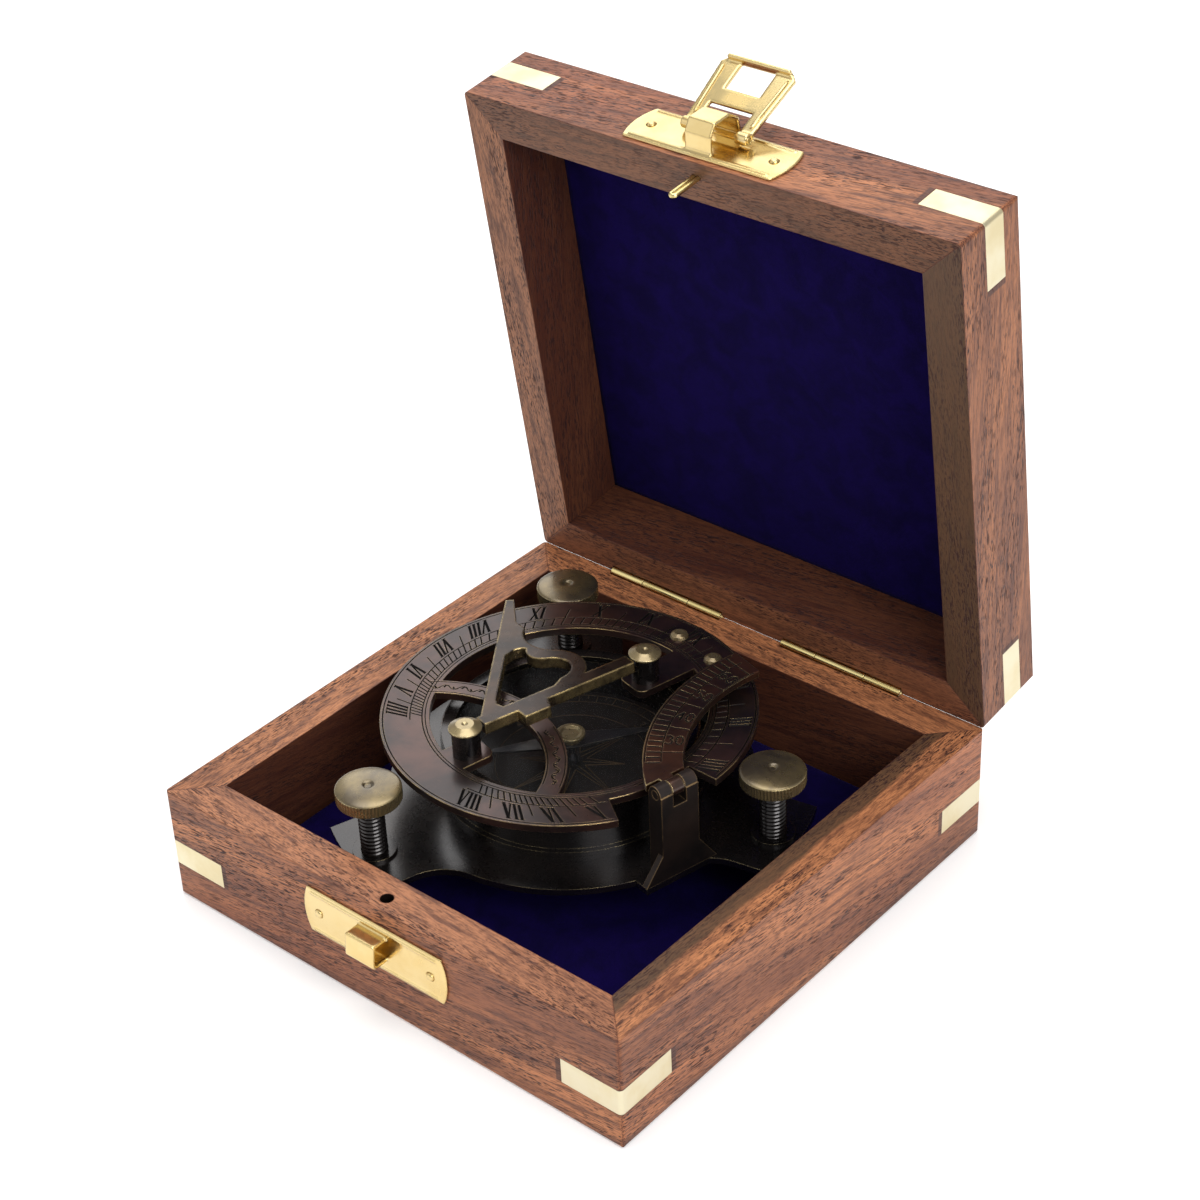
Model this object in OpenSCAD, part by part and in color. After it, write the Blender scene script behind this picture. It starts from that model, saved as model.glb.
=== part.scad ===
// Sundial compass in a hinged wooden box, drawn with the lid open and the dial folded flat.
// The origin is the middle of the box's underside. X runs along the hinge line, Y from the
// latch to the hinges and Z up. Millimetres.

/* [Box] */
// Width along the hinge line
box_w = 130; // [124:1:140]
// Depth from the latch side to the hinge side
box_d = 127; // [126:1:138]
// Height of the base
base_h = 29; // [28:0.5:34]
// Height of the lid
lid_h = 20.6; // [20.2:0.2:26]
// Thickness of the side boards
wall_t = 9.5; // [7:0.5:9.5]
// Thickness of the floor panel
floor_t = 5.4; // [3:0.2:5.6]
// Thickness of the panel in the lid
lid_panel_t = 2.6; // [1.6:0.2:2.8]
// Thickness of the velvet pad on the floor
pad_t = 1.6; // [1:0.2:1.8]
// Thickness of the velvet inside the lid
lid_pad_t = 0.6; // [0.4:0.1:0.8]
// Rounding of the outer edges
edge_r = 1; // [0.4:0.2:2]
// Gap between the two rims when the box is shut
rim_gap = 0.02; // [0.02:0.02:0.6]
// Angle that the lid stands open
lid_open = 82.2; // [60:1:88]

/* [Corner inlays] */
// Length of each inlay arm
inlay_l = 15.7; // [8:0.5:20]
// Height of the inlay strips
inlay_h = 6.4; // [4:0.2:9]
// Thickness of the inlay strips
inlay_t = 1; // [0.6:0.1:1.6]
// Height of the inlay's middle above the underside of the base
base_inlay_z = 12.4; // [8:0.2:18]
// Height of the inlay's middle above the rim of the lid
lid_inlay_z = 11.5; // [6:0.2:14]

/* [Hinges] */
// Distance of each hinge from the middle of the box
hinge_x = 25.8; // [20:0.5:34]
// Length of a hinge
hinge_l = 33.5; // [20:0.5:38]
// Radius of the hinge barrel
barrel_r = 1.2; // [1:0.1:1.6]
// Distance of the hinge axis behind the box
hinge_out = 0.02; // [0.02:0.02:0.8]
// Width of a hinge leaf
leaf_w = 9; // [6:0.5:14]
// Thickness of a hinge leaf
leaf_t = 0.8; // [0.6:0.1:1.2]
// Radius of the hinge pins
hinge_pin_r = 0.6; // [0.4:0.1:0.7]

/* [Latch] */
// Sideways place of the latch
latch_x = -1.5; // [-20:0.5:20]
// Length of both latch plates
latch_l = 41.6; // [36:0.2:48]
// Height of both latch plates
latch_h = 12.2; // [12:0.2:14]
// Thickness of both latch plates
latch_t = 0.6; // [0.5:0.1:1]
// Thickness of the strap that forms each loop
strap_t = 0.8; // [0.5:0.1:0.8]
// Width of the loop on the lid
loop_w = 7; // [5:0.5:9]
// Width of the lug on the base
lug_w = 8.2; // [6:0.2:8.4]
// Height of the lug on the base
lug_h = 6.2; // [4:0.2:6.2]
// Distance that the lug on the base stands out
lug_out = 4.6; // [3.4:0.2:6]
// Depth of the lug's top below the rim of the base
lug_drop = 6.4; // [5:0.2:7]
// Length of the hasp from its pin to its free edge
hasp_l = 18.1; // [18:0.1:20]
// Width of the hasp at its pin
hasp_w = 17.2; // [15:0.2:20]
// Width of the hasp at its free edge
hasp_tip_w = 19.4; // [15:0.2:24]
// Thickness of the hasp
hasp_t = 0.9; // [0.6:0.1:1]
// Distance that the hasp's finger lip stands out
hasp_lip = 1.2; // [0.6:0.1:2]
// Radius of the hasp's pin
hasp_pin_r = 0.75; // [0.5:0.05:0.8]
// Angle that the hasp leans out from the lid
hasp_lean = 21.4; // [16:0.2:40]
// Radius of the nails
nail_r = 0.6; // [0.4:0.1:0.9]

/* [Instrument stand] */
// Sideways place of the instrument in the box
stand_x = -5.5; // [-5.5:0.5:-2]
// Place of the instrument from the latch side to the hinge side
stand_y = 4.4; // [0:0.2:4.4]
// Angle that the instrument is turned in the box
stand_turn = -13.2; // [-16:0.2:-10]
// Radius of the round middle of the plate
disc_r = 41.2; // [40.8:0.2:43]
// Reach of the three arms from the middle
arm_reach = 56; // [55:0.2:56]
// Width of an arm
arm_w = 25; // [18:0.5:25]
// Thickness of the plate
plate_t = 1.6; // [1.2:0.1:2]
// Height of the plate above the velvet
plate_up = 11.9; // [10:0.1:11.9]
// Radius of the circle through the levelling screws
screw_ring_r = 50; // [50:0.1:50.4]
// Radius of a levelling screw
screw_r = 3; // [2:0.1:3.2]
// Radius of a levelling screw's head
head_r = 7.3; // [5:0.1:7.3]
// Thickness of a levelling screw's head
head_t = 4; // [2:0.2:6]
// Height of the screw heads above the plate
head_up = 18; // [12:0.2:24]

/* [Compass] */
// Radius of the compass housing
housing_r = 29; // [26:0.5:29.5]
// Height of the housing
housing_h = 12.7; // [11:0.1:14]
// Thickness of the housing's wall
housing_t = 2.4; // [2:0.1:3]
// Thickness of the glass
glass_t = 1.2; // [0.8:0.1:1.6]
// Thickness of the dial
dial_t = 1; // [0.6:0.1:1.4]
// Length of the needle
needle_l = 44; // [30:1:48]
// Width of the needle
needle_w = 6; // [3.6:0.2:8]
// Direction in which the needle points
needle_turn = 64; // [0:1:359]
// Radius of the needle's cap
cap_r = 3.3; // [2.4:0.1:4]

/* [Hour ring] */
// Outer radius of the ring
ring_r = 42; // [41:0.1:42]
// Inner radius of the ring
ring_in = 31; // [29:0.2:32]
// Thickness of the ring
ring_t = 1.8; // [1.4:0.1:1.9]
// Height of the ring above the plate
ring_up = 16.1; // [15.6:0.1:16.2]
// Inner radius of the notch for the arc's fork
notch_r = 34.5; // [34:0.1:34.8]
// Angle at which the notch begins
notch_from = -21.8; // [-26:0.2:-18]
// Angle at which the notch ends
notch_to = 12; // [11:0.5:16]
// Sideways place of the crescent's centre
crescent_x = -3; // [-6:0.5:3]
// Distance of the crescent's centre in front of the ring's
crescent_back = 38; // [34:0.5:42]
// Outer radius of the crescent
crescent_r = 32.2; // [28:0.2:34]
// Width of the crescent
crescent_w = 4.7; // [3:0.1:7]

/* [Gnomon] */
// Sideways place of the front post
post_front_x = -0.6; // [-1.6:0.2:0.8]
// Sideways place of the back post
post_back_x = 1.9; // [0.5:0.2:2.5]
// Distance of the front post from the ring's centre
post_front = 26.9; // [25:0.1:27.4]
// Distance of the back post from the ring's centre
post_back = 19.9; // [19.6:0.1:24]
// Radius of a post
post_r = 3.15; // [2.6:0.05:3.4]
// Height of the pivot above the ring
pivot_up = 5.4; // [5.2:0.1:5.5]
// Radius of a post's cap
knob_r = 3.7; // [3.2:0.1:4]
// Thickness of a post's cap
knob_t = 1.3; // [0.8:0.1:1.4]
// Thickness of the gnomon
gnomon_t = 2.6; // [1.8:0.1:2.6]
// Angle between the gnomon's shadow edge and its pivot line
style_angle = 52.4; // [50:0.2:54]
// Reach of the gnomon's tip from its pivot line
gnomon_reach = 42; // [40:0.5:42]
// Radius of the gnomon's pivot pins
pivot_r = 0.8; // [0.5:0.1:0.9]

/* [Latitude arc] */
// Outer radius of the arc
arc_r = 47.5; // [46.8:0.1:48]
// Width of the arc
arc_w = 8.8; // [7:0.2:9.2]
// Sideways place of the arc's centre
arc_x = 60; // [59.6:0.1:60.4]
// Place of the arc's centre towards the ring's hinge
arc_y = 34.5; // [34:0.1:35]
// Thickness of the arc
arc_t = 1.8; // [1.2:0.1:2]
// Angle of the arc's free end about the arc's centre
arc_end = 176.5; // [174:0.5:200]
// Height of the arc's fold axis above the ring
fold_up = 3.9; // [3.8:0.1:4.2]
// Distance of the arc's fold axis from the ring's centre
fold_x = 41.2; // [41:0.1:41.6]
// Width of the fork that carries the arc
fork_w = 9.8; // [8:0.1:11]
// Depth of the fork
fork_d = 4.5; // [4.2:0.1:4.8]
// Width of the arc's tongue between the prongs
tongue_w = 3.2; // [2.2:0.1:4]
// Radius of the arc's pin
arc_pin_r = 1.1; // [0.7:0.1:1.2]

/* [Ring hinge] */
// Distance of the ring's tilt axis from the ring's centre
tilt_y = 37; // [36.6:0.1:37.4]
// Depth of the ring's tilt axis below the ring
tilt_down = 3.4; // [3.2:0.1:4]
// Radius of the ring hinge's knuckles
knuckle_r = 1.9; // [1.6:0.1:2]
// Radius of the ring hinge's pin
tilt_pin_r = 0.9; // [0.6:0.1:1]
// Thickness of the ring hinge's leaf
tilt_leaf_t = 1.2; // [0.8:0.1:1.2]
// Distance of each rivet from the middle of the hinge
rivet_x = 6.2; // [6:0.1:7.2]
// Radius of a rivet's head
rivet_head_r = 2.2; // [1.6:0.1:2.6]

/* [Hidden] */
$fn = 72;

wood = "sienna";
velvet = "midnightblue";
brass = "khaki";
bronze = "saddlebrown";
steel = "dimgray";
fit = 0.03;
run = 0.1;
soft_gap = 0.1;
bit = 1;

lid_z = base_h + rim_gap;
lid_top = lid_z + lid_h;
hinge_y = box_d/2 + hinge_out;
hinge_z = base_h + rim_gap/2;
inner_w = box_w - 2*wall_t;
inner_d = box_d - 2*wall_t;
pad_top = floor_t + pad_t;

nail_l = 5;
nail_head_r = 2*nail_r;
nail_head_t = 0.5;
barrel_gap = 0.15;
barrel_room = barrel_r + 0.4;
middle_knuckle_l = 0.41*hinge_l;
hinge_nail_step = 0.36*hinge_l;
hinge_nail_down = 0.6*leaf_w;

front_y = -box_d/2;
catch_z = base_h - 4.2 - latch_h/2;
latch_z = lid_z + 1.2 + latch_h/2;
latch_bow = 1.4;
latch_end_r = (pow(latch_h/2, 2) + pow(latch_bow, 2))/(2*latch_bow);
latch_nail_x = latch_l/2 - 4.6;
ridge_in = 1.1;
ridge_w = 0.5;
ridge_t = 0.3;
lug_z = base_h - lug_drop - lug_h;

// The loop's pin is free to slide: high when the hasp is raised, low when it is latched.
hasp_pin_out = 1.8;
hasp_corner = 1.5;
window_gap = 0.3;
window_l = lug_h + 2*window_gap;
window_w = lug_w + 1;
window_from = hasp_l - 1 - window_l;
loop_reach = 6.3;
ear_r = hasp_pin_r + 0.6;
hasp_pin_high = lid_z + 9.1;
hasp_pin_low = lug_z - window_gap + window_from + window_l;
hasp_slide = hasp_pin_high - hasp_pin_low;
hasp_pin_y = front_y - latch_t - hasp_pin_out;
loop_low = hasp_pin_low - lid_z - hasp_pin_r - 0.15 - strap_t;
loop_high = 13.3;
loop_out = 6.6;

pin_wire_r = 0.55;
pin_wire_x = 0.6;
pin_y = front_y + 3.6;
pin_x = latch_x + 1;
pin_down = 8.5;
pin_in = 4;
pin_hole_r = 1.5;

plate_z = pad_top + plate_up;
plate_top = plate_z + plate_t;
arm_first = -95.5;
arm_step = 120;
fillet_r = 11;
bush_r = 4.2;
bush_flange_r = 4.9;
bush_flange_t = 0.7;
bush_below = 2;
tip_z = pad_top + soft_gap;
head_top = plate_top + head_up;

housing_floor_t = 2;
housing_foot_r = housing_r + 1.3;
housing_foot_t = 1.2;
glass_rebate = 1;
housing_in = housing_r - housing_t;
housing_top = plate_top + housing_h;
glass_z = housing_top - glass_t;
bezel_t = 0.8;
dial_z = plate_top + housing_floor_t;
cap_top = glass_z - 0.5;
cap_t = 2.2;
needle_t = 0.5;
needle_z = cap_top - cap_t - 0.3;
pivot_post_r = 1.5;
needle_hole_r = 1.2;
screw_small_r = 1.1;
screw_small_head_r = 2.2;
housing_screw_ring = 0.7*housing_in;
housing_screw_l = plate_t + housing_floor_t/2;

ring_z = plate_top + ring_up;
ring_top = ring_z + ring_t;
tab_w = 8.4;
tab_past = 4.7;
tab_round = 2;
spigot_r = 1.5;

pivot_z = ring_top + pivot_up;
tip_gap = 0.2;
gnomon_tilt = asin((pivot_up - gnomon_t/2 - tip_gap)/gnomon_reach);
bar_w = 3.6;
post_gap = norm([post_back_x - post_front_x, post_front + post_back]);
pivot_turn = asin((post_back_x - post_front_x)/post_gap);
bar_from = knob_r + 0.3;
bar_to = post_gap - knob_r - 0.3;
// The web's round eye, the hollow above it and the bulge that narrows it towards the tip
loop_c = [8.5, 27];
loop_out_r = 8.3;
loop_in_r = 4.9;
hollow_c = [21.3, 38.4];
bulge_c = [16.8, 31];
style_w = 2.6;
style_foot = 3.7;
shoulder_u = [27, 31.5];
shoulder_v = 32.5;
eye_tip = [21.2, 25.4];
stop_from = 12.4;
stop_to = 18.8;
stop_out = pivot_up - 0.4;
post_top = pivot_z + pivot_r + 0.3;
pin_in_post = 2.2;
pin_in_bar = 2.4;

arc_z = ring_top + fold_up;
arc_foot = fold_x - 2.9;
fork_y = arc_y - (sqrt(pow(arc_r, 2) - pow(arc_x - arc_foot, 2))
    + sqrt(pow(arc_r - arc_w, 2) - pow(arc_x - arc_foot, 2)))/2;
fork_x = fold_x - 0.1;
fork_top = arc_z + arc_pin_r + 0.9;
fork_slot = 3.4;
fork_knuckle_r = arc_pin_r + 0.8;
gusset_w = 4.6;
gusset_h = 6.6;
gusset_t = 1.6;

tilt_z = ring_z - tilt_down;
lug_half = 4;
lug_room = 0.2;
lug_t = 3.4;
bracket_l = 2*(lug_half + lug_room + lug_t);
bracket_foot_w = bracket_l + 3;
bracket_foot_t = 1.5;
bracket_y = tilt_y;
leaf_l = 2*rivet_x + 5.4;
leaf_from = tilt_y - 4.4;
leaf_to = tilt_y + 2.4;
rivet_y = tilt_y - 1.2;
rivet_r = 1.1;
rivet_head_t = 1.2;
// The bracket's own screws stand between its lugs and ends.
bracket_screw_x = 3.2;
bracket_screw_l = plate_t + 5;

// Placing helpers
module in_stand() {
    translate([stand_x, stand_y, 0]) rotate([0, 0, stand_turn]) children();
}

module in_lid() {
    translate([0, hinge_y, hinge_z]) rotate([-lid_open, 0, 0])
        translate([0, -hinge_y, -hinge_z]) children();
}

module in_hasp() {
    in_lid() translate([latch_x, hasp_pin_y, hasp_pin_high]) rotate([hasp_lean, 0, 0])
        children();
}

module in_gnomon() {
    in_stand() translate([post_front_x, -post_front, pivot_z])
        rotate([0, -gnomon_tilt, -pivot_turn]) children();
}

module at_screw(i) {
    rotate([0, 0, arm_first + i*arm_step]) translate([screw_ring_r, 0, 0]) children();
}

module at_corners() {
    for (sx = [0, 1], sy = [0, 1])
        mirror([sx, 0, 0]) mirror([0, sy, 0]) translate([-box_w/2, -box_d/2, 0]) children();
}

module both_sides(x) {
    for (s = [-1, 1]) translate([s*x, 0, 0]) children();
}

// A rod that runs along X or Y
module rod_x(r, l) { rotate([0, 90, 0]) cylinder(r = r, h = l, center = true); }
module rod_y(r, l) { rotate([90, 0, 0]) cylinder(r = r, h = l, center = true); }

// Wooden box
module rounded_plan(w, d, r) {
    square([w - 2*r, d], center = true);
    square([w, d - 2*r], center = true);
    for (x = [-1, 1], y = [-1, 1]) translate([x*(w/2 - r), y*(d/2 - r)]) circle(r);
}

module eased_section(h) {
    translate([edge_r, 0]) square([wall_t - edge_r, h]);
    translate([0, edge_r]) square([wall_t, h - edge_r]);
    translate([edge_r, edge_r]) circle(edge_r);
}

// One side of a frame, mitred at both ends, with its lower outer edge rounded
module mitred_board(l, other, h) {
    intersection() {
        linear_extrude(h) polygon([
            [-l/2, -other/2], [l/2, -other/2],
            [l/2 - wall_t, wall_t - other/2], [wall_t - l/2, wall_t - other/2]
        ]);
        translate([-l/2, -other/2, 0]) rotate([90, 0, 90]) linear_extrude(l) eased_section(h);
        linear_extrude(h) rounded_plan(l, other, edge_r);
    }
}

module front_board(h) { mitred_board(box_w, box_d, h); }
module back_board(h) { rotate([0, 0, 180]) mitred_board(box_w, box_d, h); }
module left_board(h) { rotate([0, 0, -90]) mitred_board(box_d, box_w, h); }
module right_board(h) { rotate([0, 0, 90]) mitred_board(box_d, box_w, h); }

module as_lid_frame() {
    translate([0, 0, lid_top]) mirror([0, 0, 1]) children();
}

// Brass strips let in round each corner, mitred where they meet
module inlay_arm() {
    linear_extrude(inlay_h)
        polygon([[0, 0], [inlay_l, 0], [inlay_l, inlay_t], [inlay_t, inlay_t]]);
}

module inlays(z) {
    intersection() {
        translate([0, 0, z - inlay_h/2]) at_corners() {
            inlay_arm();
            mirror([1, -1, 0]) inlay_arm();
        }
        translate([0, 0, z - inlay_h]) linear_extrude(2*inlay_h)
            rounded_plan(box_w, box_d, edge_r);
    }
}

module base_inlays() { inlays(base_inlay_z); }
module lid_inlays() { inlays(lid_z + lid_inlay_z); }

// Nails run along Y, with the head towards the viewer at y = 0
module nail(extra = 0) {
    translate([0, nail_l/2 - bit/2, 0]) rod_y(nail_r + extra, nail_l + bit);
}

module nail_with_head() {
    translate([0, nail_l/2, 0]) rod_y(nail_r, nail_l);
    rotate([90, 0, 0]) cylinder(r1 = nail_head_r, r2 = nail_r, h = nail_head_t);
}

module at_latch_nails(z) {
    for (s = [-1, 1]) translate([latch_x + s*latch_nail_x, front_y, z]) children();
}

module at_hinge_nails(side) {
    for (h = [-1, 1], i = [-1, 0, 1])
        translate([h*hinge_x + i*hinge_nail_step, box_d/2, hinge_z + side*hinge_nail_down])
            rotate([0, 0, 180]) children();
}

// Pocket for one hinge leaf and its barrel; side is -1 below the rims and 1 above them
module hinge_pocket(side) {
    for (h = [-1, 1]) translate([h*hinge_x, 0, 0]) {
        translate([0, hinge_y, hinge_z]) rod_x(barrel_room, hinge_l + 2*barrel_gap);
        translate([0, box_d/2 + bit/2, hinge_z + side*leaf_w/2])
            cube([hinge_l + 2*barrel_gap, 2*leaf_t + bit, leaf_w + 2*barrel_gap],
                center = true);
    }
}

module base_front_board() {
    color(wood) difference() {
        front_board(base_h);
        base_inlays();
        at_latch_nails(catch_z) nail(fit);
        translate([pin_x, pin_y, base_h - pin_down - 1.5])
            cylinder(r = pin_hole_r, h = pin_down + 1.5 + bit);
    }
}

module base_back_board() {
    color(wood) difference() {
        back_board(base_h);
        base_inlays();
        hinge_pocket(-1);
        at_hinge_nails(-1) nail(fit);
    }
}

module base_left_board() {
    color(wood) difference() {
        left_board(base_h);
        base_inlays();
    }
}

module base_right_board() {
    color(wood) difference() {
        right_board(base_h);
        base_inlays();
    }
}

module base_floor_panel() {
    color(wood) linear_extrude(floor_t) square([inner_w, inner_d], center = true);
}

module base_velvet_lining() {
    color(velvet) translate([0, 0, floor_t]) linear_extrude(pad_t)
        square([inner_w - 2*soft_gap, inner_d - 2*soft_gap], center = true);
}

module base_corner_inlays() { color(brass) base_inlays(); }

module lid_front_board() {
    color(wood) in_lid() difference() {
        as_lid_frame() front_board(lid_h);
        lid_inlays();
        at_latch_nails(latch_z) nail(fit);
        translate([pin_x, pin_y, lid_z - bit]) linear_extrude(pin_in + bit) pin_plan(fit);
    }
}

module lid_back_board() {
    color(wood) in_lid() difference() {
        as_lid_frame() back_board(lid_h);
        lid_inlays();
        hinge_pocket(1);
        at_hinge_nails(1) nail(fit);
    }
}

module lid_left_board() {
    color(wood) in_lid() difference() {
        as_lid_frame() left_board(lid_h);
        lid_inlays();
    }
}

module lid_right_board() {
    color(wood) in_lid() difference() {
        as_lid_frame() right_board(lid_h);
        lid_inlays();
    }
}

module lid_top_panel() {
    color(wood) in_lid() translate([0, 0, lid_top - lid_panel_t]) linear_extrude(lid_panel_t)
        square([inner_w, inner_d], center = true);
}

module lid_velvet_lining() {
    color(velvet) in_lid() translate([0, 0, lid_top - lid_panel_t - lid_pad_t])
        linear_extrude(lid_pad_t)
            square([inner_w - 2*soft_gap, inner_d - 2*soft_gap], center = true);
}

module lid_corner_inlays() { color(brass) in_lid() lid_inlays(); }

// Box hinges: the base's leaf carries the outer knuckles, the lid's leaf the middle one
module knuckles(which) {
    outer_l = (hinge_l - middle_knuckle_l)/2 - barrel_gap;
    if (which == -1)
        for (s = [-1, 1]) translate([s*(hinge_l - outer_l)/2, 0, 0]) rod_x(barrel_r, outer_l);
    else
        rod_x(barrel_r, middle_knuckle_l);
}

module hinge_leaf(side) {
    room_l = (side == -1) ? middle_knuckle_l + 2*barrel_gap : hinge_l;
    difference() {
        union() {
            translate([0, hinge_y, hinge_z]) knuckles(side);
            translate([-hinge_l/2, box_d/2 - leaf_t, hinge_z + (side == -1 ? -leaf_w : 0)])
                cube([hinge_l, leaf_t, leaf_w]);
        }
        // Room for the other leaf's knuckles
        translate([0, hinge_y, hinge_z]) difference() {
            rod_x(barrel_room, hinge_l + bit);
            if (side == -1) both_sides((hinge_l + middle_knuckle_l)/4 + barrel_gap/2)
                rod_x(barrel_room + bit, (hinge_l - middle_knuckle_l)/2 - barrel_gap);
            else rod_x(barrel_room + bit, middle_knuckle_l);
        }
        translate([0, hinge_y, hinge_z]) rod_x(hinge_pin_r + fit, hinge_l + bit);
    }
}

module hinge_leaves(side) {
    difference() {
        both_sides(hinge_x) hinge_leaf(side);
        at_hinge_nails(side) nail(fit);
    }
}

module hinge_base_leaves() { color(brass) hinge_leaves(-1); }
module hinge_lid_leaves() { color(brass) in_lid() hinge_leaves(1); }
module hinge_base_nails() { color(brass) at_hinge_nails(-1) nail_with_head(); }
module hinge_lid_nails() { color(brass) in_lid() at_hinge_nails(1) nail_with_head(); }

module hinge_pins() {
    color(brass) both_sides(hinge_x) translate([0, hinge_y, hinge_z]) rod_x(hinge_pin_r, hinge_l);
}

// Latch: both plates have bowed ends, a ridge along each long side and two nails
module latch_outline() {
    intersection() {
        square([latch_l, latch_h], center = true);
        union() {
            square([latch_l - 2*latch_end_r, latch_h], center = true);
            for (s = [-1, 1]) translate([s*(latch_l/2 - latch_end_r), 0]) circle(latch_end_r);
        }
    }
}

module latch_blank(z) {
    difference() {
        translate([latch_x, front_y, z]) rotate([90, 0, 0]) {
            linear_extrude(latch_t) latch_outline();
            for (s = [-1, 1]) translate([0, s*(latch_h/2 - ridge_in), latch_t + ridge_t/2])
                cube([latch_l - 2*latch_bow - 2*ridge_in, ridge_w, ridge_t], center = true);
        }
        at_latch_nails(z) nail(fit);
    }
}

// A strap bent to a loop, given as an outline of [distance out, height]
module strap(w, y, z, outline) {
    translate([latch_x - w/2, y, z]) rotate([90, 0, 90]) linear_extrude(w) polygon(
        [for (p = outline) [-p[0], p[1]]]);
}

module base_catch_plate() {
    color(brass) difference() {
        union() {
            latch_blank(catch_z);
            strap(lug_w, front_y - latch_t, lug_z, [
                [-latch_t/2, 0], [lug_out - 0.9, 0], [lug_out, 0.9], [lug_out - 0.5, lug_h],
                [-latch_t/2, lug_h]
            ]);
        }
        strap(lug_w + bit, front_y - latch_t, lug_z, [
            [0, strap_t], [lug_out - 1.4, strap_t], [lug_out - strap_t, strap_t + 0.6],
            [lug_out - 0.5 - strap_t, lug_h - strap_t], [0, lug_h - strap_t]
        ]);
    }
}

module base_catch_nails() {
    color(brass) at_latch_nails(catch_z) translate([0, -latch_t, 0]) nail_with_head();
}

module latch_plate() {
    color(brass) in_lid() difference() {
        union() {
            latch_blank(latch_z);
            strap(loop_w, front_y - latch_t, lid_z, [
                [-latch_t/2, loop_low], [4.1, loop_low + 0.5], [loop_out, loop_low + 2.4],
                [loop_out - 0.2, 9.8], [4.2, loop_high - 0.5], [-latch_t/2, loop_high]
            ]);
        }
        strap(loop_w + bit, front_y - latch_t, lid_z, [
            [0, loop_low + strap_t], [3.8, loop_low + strap_t + 0.3],
            [loop_out - strap_t, loop_low + strap_t + 1.9], [loop_out - strap_t - 0.2, 9.4],
            [3.8, loop_high - 0.5 - strap_t], [0, loop_high - strap_t]
        ]);
    }
}

module latch_nails() {
    color(brass) in_lid() at_latch_nails(latch_z) translate([0, -latch_t, 0]) nail_with_head();
}

module hasp_pin() {
    color(brass) in_lid() translate([latch_x, hasp_pin_y, hasp_pin_high])
        rod_x(hasp_pin_r, hasp_w);
}

module hasp_plan() {
    difference() {
        polygon([
            [-hasp_w/2, 0], [hasp_w/2, 0], [hasp_tip_w/2, hasp_l - hasp_corner],
            [hasp_tip_w/2 - hasp_corner, hasp_l], [hasp_corner - hasp_tip_w/2, hasp_l],
            [-hasp_tip_w/2, hasp_l - hasp_corner]
        ]);
        translate([0, loop_reach/2 - bit/2])
            square([loop_w + 4.2, loop_reach + bit], center = true);
        translate([0, window_from + window_l/2]) square([window_w, window_l], center = true);
    }
}

module hasp() {
    ear_l = (hasp_w - loop_w - 4.2)/2;
    color(brass) in_hasp() difference() {
        union() {
            rotate([90, 0, 0]) linear_extrude(hasp_t, center = true) hasp_plan();
            both_sides((hasp_w - ear_l)/2) rod_x(ear_r, ear_l);
            // Finger lip turned outwards along the free edge
            translate([hasp_corner - hasp_tip_w/2, -hasp_t/2 - hasp_lip, hasp_l - hasp_t])
                cube([hasp_tip_w - 2*hasp_corner, hasp_t + hasp_lip, hasp_t]);
        }
        rod_x(hasp_pin_r + fit, hasp_w + bit);
    }
}

// A folded wire in the lid's rim that drops into a hole in the base's rim
module pin_plan(extra = 0) {
    for (s = [-1, 1]) translate([s*pin_wire_x, 0]) circle(pin_wire_r + extra);
}

module lid_locating_pin() {
    color(brass) in_lid() translate([pin_x, pin_y, lid_z - pin_down + pin_wire_x + pin_wire_r]) {
        linear_extrude(pin_down - pin_wire_x - pin_wire_r + pin_in) pin_plan();
        rotate([90, 0, 0]) intersection() {
            rotate_extrude() translate([pin_wire_x, 0]) circle(pin_wire_r);
            translate([0, -2, 0]) cube([4, 4, 4], center = true);
        }
    }
}

// Instrument stand: a thin plate with three arms, carried by three levelling screws
module arm_outline(x, y, k) {
    a = arm_w/2;
    in_x = x - 1.3*(1 - k)*x;
    in_y = a + 1.3*(k*y - a);
    polygon([
        [0, -in_y], [in_x, -in_y], [x, -a], [arm_reach + bit, -a],
        [arm_reach + bit, a], [x, a], [in_x, in_y], [0, in_y]
    ]);
}

module plate_outline() {
    // Centre of the hollow fillet between an arm and the round middle
    y = arm_w/2 + fillet_r;
    x = sqrt(pow(disc_r + fillet_r, 2) - pow(y, 2));
    difference() {
        union() {
            circle(disc_r);
            intersection() {
                circle(arm_reach);
                for (i = [0, 1, 2]) rotate(arm_first + i*arm_step)
                    arm_outline(x, y, disc_r/(disc_r + fillet_r));
            }
        }
        for (i = [0, 1, 2], s = [-1, 1]) rotate(arm_first + i*arm_step)
            translate([x, s*y]) circle(fillet_r + fit);
    }
}

module tripod_plate() {
    color(bronze) in_stand() difference() {
        translate([0, 0, plate_z]) {
            linear_extrude(plate_t) plate_outline();
            translate([fork_x - fork_d, fork_y - fork_w/2 - gusset_w, 0])
                cube([1.5*fork_d, fork_w + 2*gusset_w, plate_t]);
        }
        for (i = [0, 1, 2]) at_screw(i) translate([0, 0, plate_z - bit])
            cylinder(r = bush_r + fit, h = plate_t + 2*bit);
        at_bracket_screws() screw_hole(plate_z, plate_t);
        at_housing_screws() screw_hole(plate_z, plate_t);
    }
}

module levelling_bushes() {
    color(bronze) in_stand() for (i = [0, 1, 2]) at_screw(i) difference() {
        union() {
            translate([0, 0, plate_z - bush_below])
                cylinder(r = bush_r, h = plate_t + bush_below);
            translate([0, 0, plate_top]) cylinder(r = bush_flange_r, h = bush_flange_t);
        }
        translate([0, 0, plate_z - bush_below - bit])
            cylinder(r = screw_r + fit, h = plate_t + bush_below + bush_flange_t + 2*bit);
    }
}

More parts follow.
